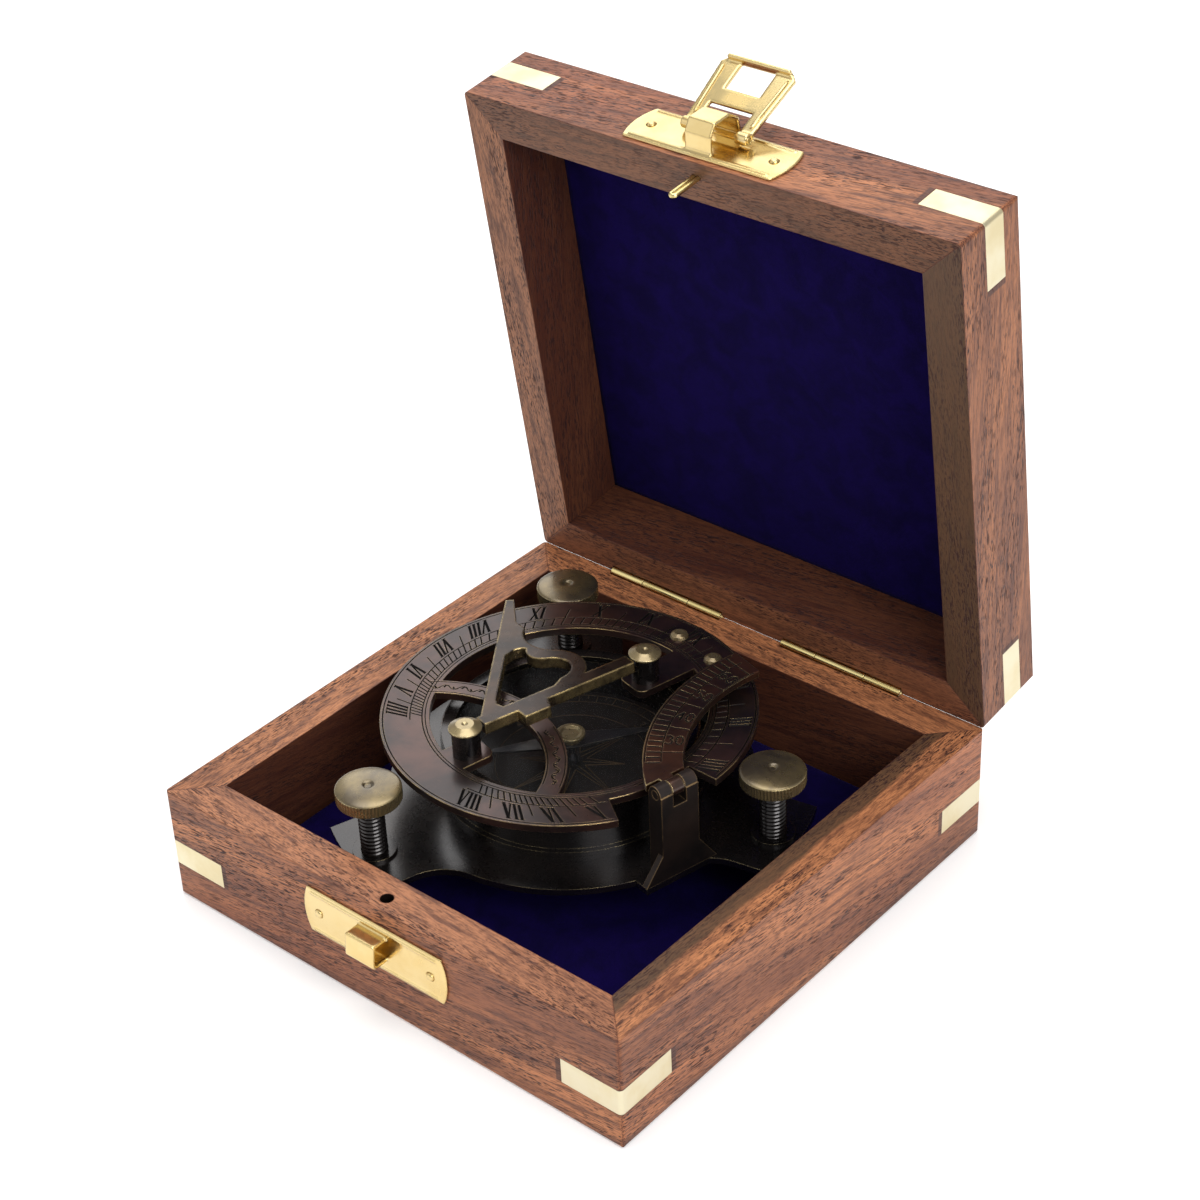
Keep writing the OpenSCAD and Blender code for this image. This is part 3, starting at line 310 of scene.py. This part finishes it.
GOLD = srgb(232, 204, 142)
ring_mat = bronze("ring_bronze", srgb(46, 37, 36), srgb(80, 55, 48), srgb(200, 172, 120),
                  0.0005, coat=0.5)
arc_mat = bronze("arc_bronze", srgb(54, 38, 32), srgb(92, 57, 39), srgb(214, 190, 138),
                 0.0006)
dark_mat = bronze("dark_bronze", srgb(30, 27, 28), srgb(44, 37, 34), srgb(150, 134, 96),
                  0.0003, 0.18, 0.55, coat=0.9)
gnomon_mat = bronze("gnomon_bronze", srgb(42, 34, 30), srgb(74, 56, 43), GOLD, 0.0009, 0.2,
                    1.1, walls=0.3, coat=0.15)
bracket_mat = bronze("bracket_bronze", srgb(34, 29, 28), srgb(58, 45, 39), srgb(168, 138, 98),
                     0.0005, 0.42, 0.8, coat=0.15)
head_mat = bronze("head_bronze", srgb(134, 117, 80), srgb(84, 74, 60), srgb(232, 212, 154),
                  0.0005, 0.2)
cap_mat = bronze("cap_bronze", srgb(170, 152, 110), srgb(120, 100, 70), srgb(236, 218, 168),
                 0.0005, 0.2)
groove_mat = bronze("groove_dark", srgb(12, 9, 9), srgb(24, 18, 16), srgb(60, 44, 36),
                    0.0001, 0.5, 0.2, coat=0.0)
steel_mat = bronze("blued_steel", srgb(40, 40, 46), srgb(64, 60, 60), srgb(130, 122, 110),
                   0.0002, 0.26, 0.8)
card_mat = bronze("compass_card", srgb(24, 19, 18), srgb(36, 27, 24), srgb(80, 66, 48),
                  0.0001, 0.6, 0.3, coat=0.0)
card_line_mat = bronze("compass_card_lines", srgb(92, 74, 52), srgb(66, 52, 40),
                       srgb(120, 100, 70), 0.0001, 0.6, 0.3, coat=0.0)
brass_mat = brass("polished_brass", srgb(226, 203, 148), 0.17, bevel=0.0006)
inlay_mat = brass("inlay_brass", srgb(222, 213, 184), 0.36, 0.4)
barrel_mat = brass("hinge_brass", srgb(224, 206, 146), 0.2)
cloth_mat = velvet("navy_velvet")
glass_mat = Tree("clear_glass").shader(
    Base_Color=(0.02, 0.02, 0.02, 1), Roughness=0.35, IOR=1.5, Alpha=0.1,
    Specular_IOR_Level=0.6)
floor_mat = Tree("floor").shader(
    Base_Color=(0.93, 0.93, 0.93, 1), Roughness=0.8, Specular_IOR_Level=0.1,
    Emission_Color=(1, 1, 1, 1), Emission_Strength=0.2)


def paint(mat, *nodes):
    for node in nodes:
        NODES[node].data.materials.clear()
        NODES[node].data.materials.append(mat)


ORANGE, TAN, RED = srgb(204, 136, 90), srgb(186, 128, 92), srgb(150, 92, 66)
for side, number, in_lid, rim_colour, olive, olive_width, shade in (
        ("front", 0, False, TAN, 0.0, 0.0, 0.06), ("back", 1, False, ORANGE, 0.0, 0.0, 0.0),
        ("left", 2, False, ORANGE, 0.0, 0.0, 0.1), ("right", 3, False, ORANGE, 0.85, 0.004, 0.0),
        ("front", 4, True, RED, 0.6, 0.02, 0.0), ("back", 5, True, RED, 0.3, 0.02, 0.0),
        ("left", 6, True, TAN, 0.2, 0.02, 0.12), ("right", 7, True, RED, 0.85, 0.02, 0.35)):
    part = "lid" if in_lid else "base"
    shift = (0.31*number + 0.07, 0.17*number, 0.09*number)
    paint(wood(f"{part}_{side}_wood", number % 4 > 1, in_lid, shift, rim_colour, olive,
               olive_width, shade), f"{part}_{side}_board")
paint(wood("base_panel_wood", False, False, (1.3, 0.4, 0.2), TAN), "base_floor_panel")
paint(wood("lid_panel_wood", False, True, (1.7, 0.6, 0.1), TAN), "lid_top_panel")
paint(brass_mat, "base_catch_plate", "base_catch_nails", "latch_plate", "latch_nails", "hasp",
      "hasp_pin")
paint(barrel_mat, "hinge_base_leaves", "hinge_base_nails", "hinge_lid_leaves",
      "hinge_lid_nails", "hinge_pins", "lid_locating_pin")
paint(inlay_mat, "base_corner_inlays", "lid_corner_inlays")
paint(bracket_mat, "arc_bracket", "arc_pin")
paint(dark_mat, "tripod_plate", "compass_housing", "glass_retaining_ring",
      "ring_hinge_bracket", "ring_hinge_leaf", "levelling_bushes",
      "gnomon_post_front", "gnomon_post_back")
paint(gnomon_mat, "gnomon")
paint(cap_mat, "ring_hinge_rivets", "gnomon_post_caps", "needle_cap")
paint(steel_mat, "housing_screws", "compass_pivot", "ring_hinge_pin", "bracket_screws",
      "gnomon_pins", "compass_needle")
paint(glass_mat, "compass_glass")

# The instrument's own axes in the box, and its flat tops
STAND = Matrix.Translation(Vector((-5.5, 4.4, 0)) * MM) @ Matrix.Rotation(
    math.radians(-13.2), 4, "Z")
RING_TOP = 38.4
ARC_TOP = 43.2
DIAL_TOP = 23.5


def mesh_object(name, verts, faces, mat, body=None, smooth=False):
    me = bpy.data.meshes.new(name)
    me.from_pydata([tuple(v) for v in verts], [], faces)
    me.update()
    obj = link(bpy.data.objects.new(name, me))
    me.materials.append(mat)
    if smooth:
        me.polygons.foreach_set("use_smooth", [True] * len(me.polygons))
    if body:
        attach(obj, body)
    return obj


def smooth_by_angle(obj, degrees):
    obj.data.polygons.foreach_set("use_smooth", [True] * len(obj.data.polygons))
    bm = bmesh.new()
    bm.from_mesh(obj.data)
    limit = math.radians(degrees)
    for e in bm.edges:
        e.smooth = len(e.link_faces) == 2 and e.calc_face_angle(9) < limit
    bm.to_mesh(obj.data)
    bm.free()


def face_outwards(me):
    bm = bmesh.new()
    bm.from_mesh(me)
    bmesh.ops.recalc_face_normals(bm, faces=bm.faces)
    bm.to_mesh(me)
    bm.free()


def sleeve(rings, around):
    """Faces between rings of points, each ring with the same number of points."""
    faces = []
    for i in range(rings - 1):
        for k in range(around):
            a, b = i*around + k, i*around + (k + 1) % around
            faces.append((a, b, b + around, a + around))
    return faces


def joined_copy(node):
    """The mesh of a CAD piece with its faces joined at their shared corners, and no material."""
    me = NODES[node].data.copy()
    me.materials.clear()
    bm = bmesh.new()
    bm.from_mesh(me)
    bmesh.ops.remove_doubles(bm, verts=bm.verts, dist=1e-7)
    bm.to_mesh(me)
    bm.free()
    return me


def apply_modifiers(obj):
    old = obj.data
    depsgraph = bpy.context.evaluated_depsgraph_get()
    done = bpy.data.meshes.new_from_object(obj.evaluated_get(depsgraph))
    obj.modifiers.clear()
    obj.data = done
    bpy.data.meshes.remove(old)


class Strokes:
    """V-shaped cutters in millimetres on a flat top, joined into one mesh."""

    def __init__(self, top, depth=0.28, above=0.06):
        self.top, self.depth, self.above = top, depth, above
        self.verts, self.faces = [], []

    def line(self, a, b, width):
        a, b = Vector(a), Vector(b)
        d = (b - a)
        if d.length < 1e-6:
            return
        d.normalize()
        n = Vector((-d.y, d.x))
        depth = min(self.depth, width*0.7)
        flare = width/2 * (1 + self.above/depth)
        tip = min(width/2, (b - a).length/3)
        i = len(self.verts)
        for p in (a, b):
            for side in (-1, 1):
                q = p + n * side * flare
                self.verts.append((q.x, q.y, self.top + self.above))
        for p, s in ((a, 1), (b, -1)):
            q = p + d * s * tip
            self.verts.append((q.x, q.y, self.top - depth))
        self.faces += [(i, i+1, i+3, i+2), (i, i+2, i+5, i+4), (i+1, i+4, i+5, i+3),
                       (i, i+4, i+1), (i+2, i+3, i+5)]

    def path(self, points, width):
        for a, b in zip(points, points[1:]):
            self.line(a, b, width)

    def arc(self, centre, r, a0, a1, width, step=4.0):
        """A groove along a circle from angle a0 up to a1, in degrees."""
        c = Vector(centre)
        depth = min(self.depth, width*0.7)
        flare = width/2 * (1 + self.above/depth)
        full = a1 - a0 >= 359.9
        n = max(3, int((a1 - a0)/step))
        base = len(self.verts)
        count = n if full else n + 1
        for k in range(count):
            u = at(1, a0 + (a1 - a0)*k/n)
            for rr, z in ((r - flare, self.top + self.above), (r + flare, self.top + self.above),
                          (r, self.top - depth)):
                self.verts.append((c.x + u.x*rr, c.y + u.y*rr, z))
        for k in range(n):
            i = base + 3*k
            j = base + 3*((k + 1) % count)
            self.faces += [(i, i+1, j+1, j), (i+1, i+2, j+2, j+1), (i+2, i, j, j+2)]
        if not full:
            j = base + 3*n
            self.faces += [(base, base+2, base+1), (j, j+1, j+2)]

    def cut(self, node, name, body, mats):
        """A copy of a CAD piece with these grooves in it, which stands for that piece."""
        cutter = mesh_object(name + "_cutter", [STAND @ (Vector(v) * MM) for v in self.verts],
                             self.faces, mats[1])
        face_outwards(cutter.data)
        obj = link(bpy.data.objects.new(name, joined_copy(node)))
        obj.data.materials.append(mats[0])
        mod = obj.modifiers.new("cut", "BOOLEAN")
        mod.operation = "DIFFERENCE"
        mod.solver = "EXACT"
        mod.use_self = True
        mod.material_mode = "TRANSFER"
        mod.object = cutter
        apply_modifiers(obj)
        bpy.data.objects.remove(cutter)
        smooth_by_angle(obj, 30)
        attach(obj, body)
        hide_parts(node)


def at(r, a):
    a = math.radians(a)
    return Vector((r*math.cos(a), r*math.sin(a)))


# Hour ring: the hour lines meet at STYLE_FOOT, so every stroke and tick leans towards it
STYLE_FOOT = Vector((-1, -18))
BAND_IN, BAND_OUT = 36.0, 40.6
BAND_MIDDLE = 38.3
RIM_LINE, TICKS_OUT, TICKS_IN, INNER_LINE = 41.35, 35.3, 32.6, 31.9


def hour_point(a, r):
    """Where the hour line through angle a of the numerals' band meets radius r."""
    d = at(BAND_MIDDLE, a) - STYLE_FOOT
    b = STYLE_FOOT.dot(d)
    s = (math.sqrt(b*b - d.dot(d)*(STYLE_FOOT.dot(STYLE_FOOT) - r*r)) - b)/d.dot(d)
    return STYLE_FOOT + d*s


ROMAN = {1: "I", 2: "II", 3: "III", 4: "IIII", 5: "V", 6: "VI", 7: "VII", 8: "VIII", 9: "IX",
         10: "X", 11: "XI", 12: "XII"}
LETTER_W = {"I": 1.15, "V": 2.3, "X": 2.5}


def roman(strokes, text, middle):
    """A numeral across the band with serifs, its top towards the ring's centre."""
    def p(offset, f):
        return hour_point(middle + math.degrees(offset/BAND_MIDDLE),
                          BAND_IN + (BAND_OUT - BAND_IN)*f)

    x = -sum(LETTER_W[c] for c in text)/2
    for c in text:
        m = x + LETTER_W[c]/2
        x += LETTER_W[c]
        lean = {"I": (0, 0, 0), "V": (0.85, 0, 0.3), "X": (0.85, 0.85, 0.3)}[c]
        if c == "I":
            strokes.line(p(m, 0), p(m, 1), 0.6)
        elif c == "V":
            strokes.line(p(m - 0.85, 0), p(m, 1), 0.66)
            strokes.line(p(m + 0.85, 0), p(m + 0.05, 1), 0.36)
        else:
            strokes.line(p(m - 0.85, 0), p(m + 0.85, 1), 0.66)
            strokes.line(p(m + 0.85, 0), p(m - 0.85, 1), 0.36)
        for f, spread in ((0, lean[0]), (1, lean[1])):
            for s in {-spread, spread}:
                strokes.line(p(m + s - 0.5, f), p(m + s + 0.5, f), 0.26)


HOURS = [(231.5, 4), (220.5, 5), (209, 6), (193, 7), (177, 8), (155, 9), (133, 10), (115, 11),
         (95, 12), (78, 1), (62, 2), (42, 3), (17, 4), (-27, 5), (-41.5, 6), (-54, 7),
         (-69.5, 8)]
NOTCH = (-21.8, 12)
LINES_FROM, LINES_TO = 13.5, 337


def clear_of_notch(a):
    return not NOTCH[0] - 1.5 < a < NOTCH[1] + 1.5


ring_cut = Strokes(RING_TOP)
ring_cut.arc((0, 0), RIM_LINE, LINES_FROM, LINES_TO, 0.26)
ring_cut.arc((0, 0), TICKS_OUT, LINES_FROM, 238, 0.24)
ring_cut.arc((0, 0), TICKS_OUT, 286, LINES_TO, 0.24)
ring_cut.arc((0, 0), TICKS_IN, 0, 360, 0.24)
ring_cut.arc((0, 0), INNER_LINE, 0, 360, 0.2)
for a, hour in HOURS:
    roman(ring_cut, ROMAN[hour], a)
for (a, _), (b, _) in zip(HOURS, HOURS[1:]):
    parts = 12 if a - b > 30 else 6
    for k in range(parts):
        c = a + (b - a)*k/parts
        low, high = hour_point(c, TICKS_IN), hour_point(c, TICKS_OUT - 0.1)
        angle = math.degrees(math.atan2(high.y, high.x))
        if clear_of_notch(angle):
            ring_cut.line(low, high, 0.3)
        if k == 3 and parts == 6:
            ring_cut.line(hour_point(c, TICKS_OUT), hour_point(c, 38.9), 0.26)


def vine(strokes, centre, r, a0, a1, waves, swing):
    """A running scroll with leaves along an arc."""
    last = None
    for k in range(waves*10 + 1):
        f = k/(waves*10)
        u = at(1, a0 + (a1 - a0)*f)
        along = Vector((-u.y, u.x))
        wave = math.sin(f*waves*2*math.pi)
        p = Vector(centre) + u*(r + swing*wave)
        if last is not None:
            strokes.line(last, p, 0.26)
        if k % 5 == 2:
            out = u if wave < 0 else -u
            strokes.line(p, p + out*0.95 + along*0.5, 0.4)
            strokes.line(p, p + out*0.5 - along*0.85, 0.32)
        last = p


CRESCENT = (-3, -38)
for a0, a1, waves in ((38, 78, 5), (92, 142, 6)):
    for r in (31.75, 27.95):
        ring_cut.arc(CRESCENT, r, a0, a1, 0.22)
    vine(ring_cut, CRESCENT, 29.85, a0 + 1, a1 - 1, waves, 0.75)
ring_cut.cut("hour_ring", "hour_ring_engraved", "hour_ring", (ring_mat, groove_mat))


def bow(cx, cy, rx, ry, a0, a1, steps=8):
    """Points along part of an ellipse, angles in degrees."""
    points = [at(1, a0 + (a1 - a0)*k/steps) for k in range(steps + 1)]
    return [(cx + rx*p.x, cy + ry*p.y) for p in points]


# Plain figures in a box 1 wide and 1 high
FIGURES = {
    "0": bow(0.5, 0.5, 0.44, 0.5, 90, 450, 12),
    "1": [(0.25, 0.78), (0.55, 1), (0.55, 0)],
    "2": bow(0.5, 0.72, 0.44, 0.28, 165, -35, 6) + [(0.04, 0), (1, 0)],
    "3": bow(0.45, 0.76, 0.4, 0.24, 150, -80, 6) + bow(0.45, 0.27, 0.48, 0.27, 80, -150, 7),
    "4": [(0.72, 0), (0.72, 1), (0, 0.32), (1, 0.32)],
    "5": [(0.92, 1), (0.2, 1), (0.12, 0.58)] + bow(0.45, 0.33, 0.47, 0.33, 100, -150, 7),
    "6": bow(0.6, 0.5, 0.55, 0.5, 70, 180, 5) + bow(0.5, 0.3, 0.45, 0.3, 180, -180, 10),
    "7": [(0, 1), (1, 1), (0.36, 0)],
    "8": bow(0.5, 0.76, 0.34, 0.24, -90, 270, 9) + bow(0.5, 0.27, 0.44, 0.27, 90, -270, 10),
}
FIGURES["9"] = [(1 - x, 1 - y) for x, y in FIGURES["6"]]


def figure(strokes, digit, middle, up, size, width):
    right = Vector((up.y, -up.x))
    strokes.path([middle + right*((x - 0.5)*size*0.58) + up*((y - 0.5)*size)
                  for x, y in FIGURES[digit]], width)


# Latitude scale: a tick every 2.4 degrees, a divider every 12, tens between the dividers
ARC_C = Vector((60, 34.5))
arc_cut = Strokes(ARC_TOP, 0.26)
for r in (47.0, 43.5, 38.7):
    arc_cut.arc(ARC_C, r, 178.5, 233, 0.22)
for k in range(23):
    a = 180.5 + 2.4*k
    arc_cut.line(ARC_C + at(43.6, a), ARC_C + at(46.8, a), 0.42)
for k in range(5):
    a = 180.5 + 12*k
    arc_cut.line(ARC_C + at(38.8, a), ARC_C + at(43.5, a), 0.24)
    if k < 4:
        up = -Vector((-at(1, a + 6).y, at(1, a + 6).x))
        for digit, r in ((str(6 - k), 42.3), ("0", 40.1)):
            figure(arc_cut, digit, ARC_C + at(r, a + 6), up, 3.0, 0.42)
arc_cut.cut("latitude_arc", "latitude_arc_engraved", "latitude_arc", (arc_mat, groove_mat))

# Compass card: rings, degree marks, a plain eight-pointed star and bearings
dial_cut = Strokes(DIAL_TOP, 0.2)
for r in (25.2, 22.6, 17.4):
    dial_cut.arc((0, 0), r, 0, 360, 0.24)
for k in range(0, 360, 5):
    dial_cut.line(at(23.9 if k % 10 else 22.8, k), at(25.0, k), 0.24)
for k in range(8):
    a = 90 + 45*k
    tip = 16.8 if k % 2 == 0 else 12.0
    dial_cut.line(at(2.4, a), at(tip, a), 0.3)
    for s in (-1, 1):
        dial_cut.line(at(3.4, a + s*22.5), at(tip, a), 0.3)
for k, text in enumerate(("36", "9", "18", "27")):
    a = 90 - 90*k
    for i, digit in enumerate(text):
        side = Vector((at(1, a).y, -at(1, a).x)) * (i - (len(text) - 1)/2) * 2.1
        figure(dial_cut, digit, at(20, a) + side, at(1, a), 2.6, 0.4)
dial_cut.cut("compass_dial", "compass_dial_engraved", "instrument", (card_mat, card_line_mat))


def turned(place, rows, count, ridge=lambda k: 0.0):
    """Points and faces of a turned shape: rows of (radius, height, share of the knurl)."""
    verts, faces = [], []
    for r, z, knurl in rows:
        for k in range(count):
            u = at(r - knurl*ridge(k), 360*k/count)
            verts.append(place @ (Vector((u.x, u.y, z))*MM))
    for i in range(len(rows) - 1):
        for k in range(count):
            a, b = i*count + k, i*count + (k + 1) % count
            faces.append((a, a + count, b + count, b))
    return verts, faces


def levelling_screw(which, angle):
    """Domed, turned and knurled head on a threaded shank."""
    place = STAND @ Matrix.Rotation(math.radians(angle), 4, "Z") @ Matrix.Translation(
        Vector((50, 0, 0)) * MM)
    top, head_t, shank_r = 38.5, 4.0, 3.0
    low = top - head_t
    rows = [(0.0, top - 0.45, 0), (0.7, top - 0.42, 0), (1.1, top - 0.1, 0), (1.5, top, 0)]
    for k in range(1, 9):
        rows.append((1.5 + 5.2*k/8, top - 0.62*(k/8)**2 + (0.015 if k % 2 else -0.015), 0))
    rows += [(7.0, top - 0.72, 0.0), (7.28, top - 0.95, 0.1), (7.3, top - 1.05, 0.6),
             (7.3, top - 1.3, 1), (7.3, low + 0.5, 1), (7.2, low + 0.25, 0.5), (6.8, low, 0.0),
             (4.4, low, 0), (4.0, low - 0.4, 0), (shank_r + 0.02, low - 0.45, 0)]
    head = mesh_object(f"screw_head_{which}", *turned(
        place, rows, 240, lambda k: (0.0, 0.16, 0.26, 0.16)[k % 4]), head_mat)
    smooth_by_angle(head, 28)

    around, pitch, per_turn = 32, 1.0, 8
    z0, z1 = 7.15, low - 0.1
    steps = int((z1 - z0)/pitch*per_turn)
    verts = []
    for i in range(steps + 1):
        z = z0 + (z1 - z0)*i/steps
        for k in range(around):
            phase = (z/pitch - k/around) % 1.0
            r = shank_r - 0.42*(1 - abs(2*phase - 1))
            if z < z0 + 2.2:
                r = min(r, 1.5 + (z - z0)*0.68)
            u = at(r, 360*k/around)
            verts.append(place @ (Vector((u.x, u.y, z))*MM))
    faces = sleeve(steps + 1, around) + [tuple(range(around))[::-1]]
    shank = mesh_object(f"screw_thread_{which}", verts, faces, dark_mat, smooth=True)
    body = f"levelling_screw_{which}"
    for obj in (head, shank):
        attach(obj, body)
    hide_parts(body)


for which, angle in (("front", -95.5), ("right", 24.5), ("back", 144.5)):
    levelling_screw(which, angle)


def bead(name, place, points, radius, body):
    """A pressed rib of brass: a half-round bead along points in millimetres."""
    verts = []
    around = 10
    for i, p in enumerate(points):
        p = Vector(p)
        d = Vector(points[min(i + 1, len(points) - 1)]) - Vector(points[max(i - 1, 0)])
        side = d.normalized().cross(Vector((0, 1, 0)))
        end = 0.35 if i in (0, len(points) - 1) else 1.0
        for k in range(around):
            u = at(radius*end, 360*k/around)
            verts.append(place @ ((p + side*u.x + Vector((0, u.y, 0)))*MM))
    faces = sleeve(len(points), around)
    faces.append(tuple(range(around)))
    faces.append(tuple(range(around*(len(points) - 1), around*len(points)))[::-1])
    rib = mesh_object(name, verts, faces, brass_mat, body, smooth=True)
    face_outwards(rib.data)


HASP = LID @ Matrix.Translation(Vector((-1.5, -65.9, 38.12)) * MM) @ Matrix.Rotation(
    math.radians(21.4), 4, "X")


def pressed(name, node, body, place, rounds):
    """A copy of a CAD piece with soft edges, as in pressed brass, which stands for that piece."""
    obj = link(bpy.data.objects.new(name, joined_copy(node)))
    obj.data.transform(place.inverted())
    remesh = obj.modifiers.new("remesh", "REMESH")
    remesh.mode = "VOXEL"
    remesh.voxel_size = 0.14*MM
    soften = obj.modifiers.new("soften", "SMOOTH")
    soften.factor = 0.5
    soften.iterations = rounds
    apply_modifiers(obj)
    obj.data.transform(place)
    obj.data.materials.clear()
    obj.data.materials.append(brass_mat)
    obj.data.polygons.foreach_set("use_smooth", [True] * len(obj.data.polygons))
    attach(obj, body)
    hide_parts(node)


pressed("catch_plate_pressed", "base_catch_plate", "base", Matrix.Identity(4), 34)
pressed("latch_plate_pressed", "latch_plate", "lid", LID, 34)
pressed("hasp_pressed", "hasp", "latch_hasp", HASP, 12)

# Pressed ribs along the sides of the hasp
for s, side in ((-1, "left"), (1, "right")):
    bead(f"hasp_rib_{side}", HASP, [(s*(7.4 + 1.0*f), -0.42, 2.4 + 13.6*f) for f in (
        0, 0.05, 0.25, 0.5, 0.75, 0.95, 1)], 0.42, "latch_hasp")


def lining(name, node, body, place, w, d, z_low, z_high, roll):
    """A cloth-covered pad: soft rolled edge, slightly uneven nap."""
    nx, ny = 74, 72
    verts, faces = [], []
    for j in range(ny + 1):
        for i in range(nx + 1):
            u, v = i/nx, j/ny
            x = (u - 0.5)*w
            y = (v - 0.5)*d
            f = min(1.0, min(u*w, (1 - u)*w, v*d, (1 - v)*d)/roll)
            drop = 1 - math.sqrt(max(0.0, 1 - (1 - f)**2))
            wave = 0.5 + 0.25*math.sin(x*0.31 + 1.7*math.sin(y*0.13)) + 0.25*math.sin(
                y*0.27 + 1.3*math.sin(x*0.17 + 2))
            z = z_high - (z_high - z_low)*0.75*drop - 0.12*wave*f
            verts.append(Vector((x, y, z)))
    for j in range(ny):
        for i in range(nx):
            a = j*(nx + 1) + i
            faces.append((a, a + 1, a + nx + 2, a + nx + 1))
    obj = mesh_object(name, [place @ (v*MM) for v in verts], faces, cloth_mat, smooth=True)
    bm = bmesh.new()
    bm.from_mesh(obj.data)
    border = [e for e in bm.edges if e.is_boundary]
    new = bmesh.ops.extrude_edge_only(bm, edges=border)
    moved = [g for g in new["geom"] if isinstance(g, bmesh.types.BMVert)]
    back = (place.to_3x3() @ Vector((0, 0, 1))).normalized()
    base = place @ Vector((0, 0, z_low*MM))
    for v in moved:
        v.co -= back * (v.co - base).dot(back)
    bmesh.ops.contextual_create(bm, geom=[e for e in bm.edges if e.is_boundary])
    bmesh.ops.recalc_face_normals(bm, faces=bm.faces)
    bm.to_mesh(obj.data)
    bm.free()
    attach(obj, body)
    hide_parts(node)
    return obj


base_pad = lining("base_velvet_pad", "base_velvet_lining", "base", Matrix.Identity(4),
                  110.8, 107.8, 5.4, 7.0, 1.2)
lid_cloth = lining("lid_velvet_cloth", "lid_velvet_lining", "lid",
                   LID @ Matrix.Rotation(math.pi, 4, "X"), 110.8, 107.8, -47.02, -46.42, 0.5)

mesh_object("floor", [(-4, -4, 0), (4, -4, 0), (4, 4, 0), (-4, 4, 0)], [(0, 1, 2, 3)],
                     floor_mat)
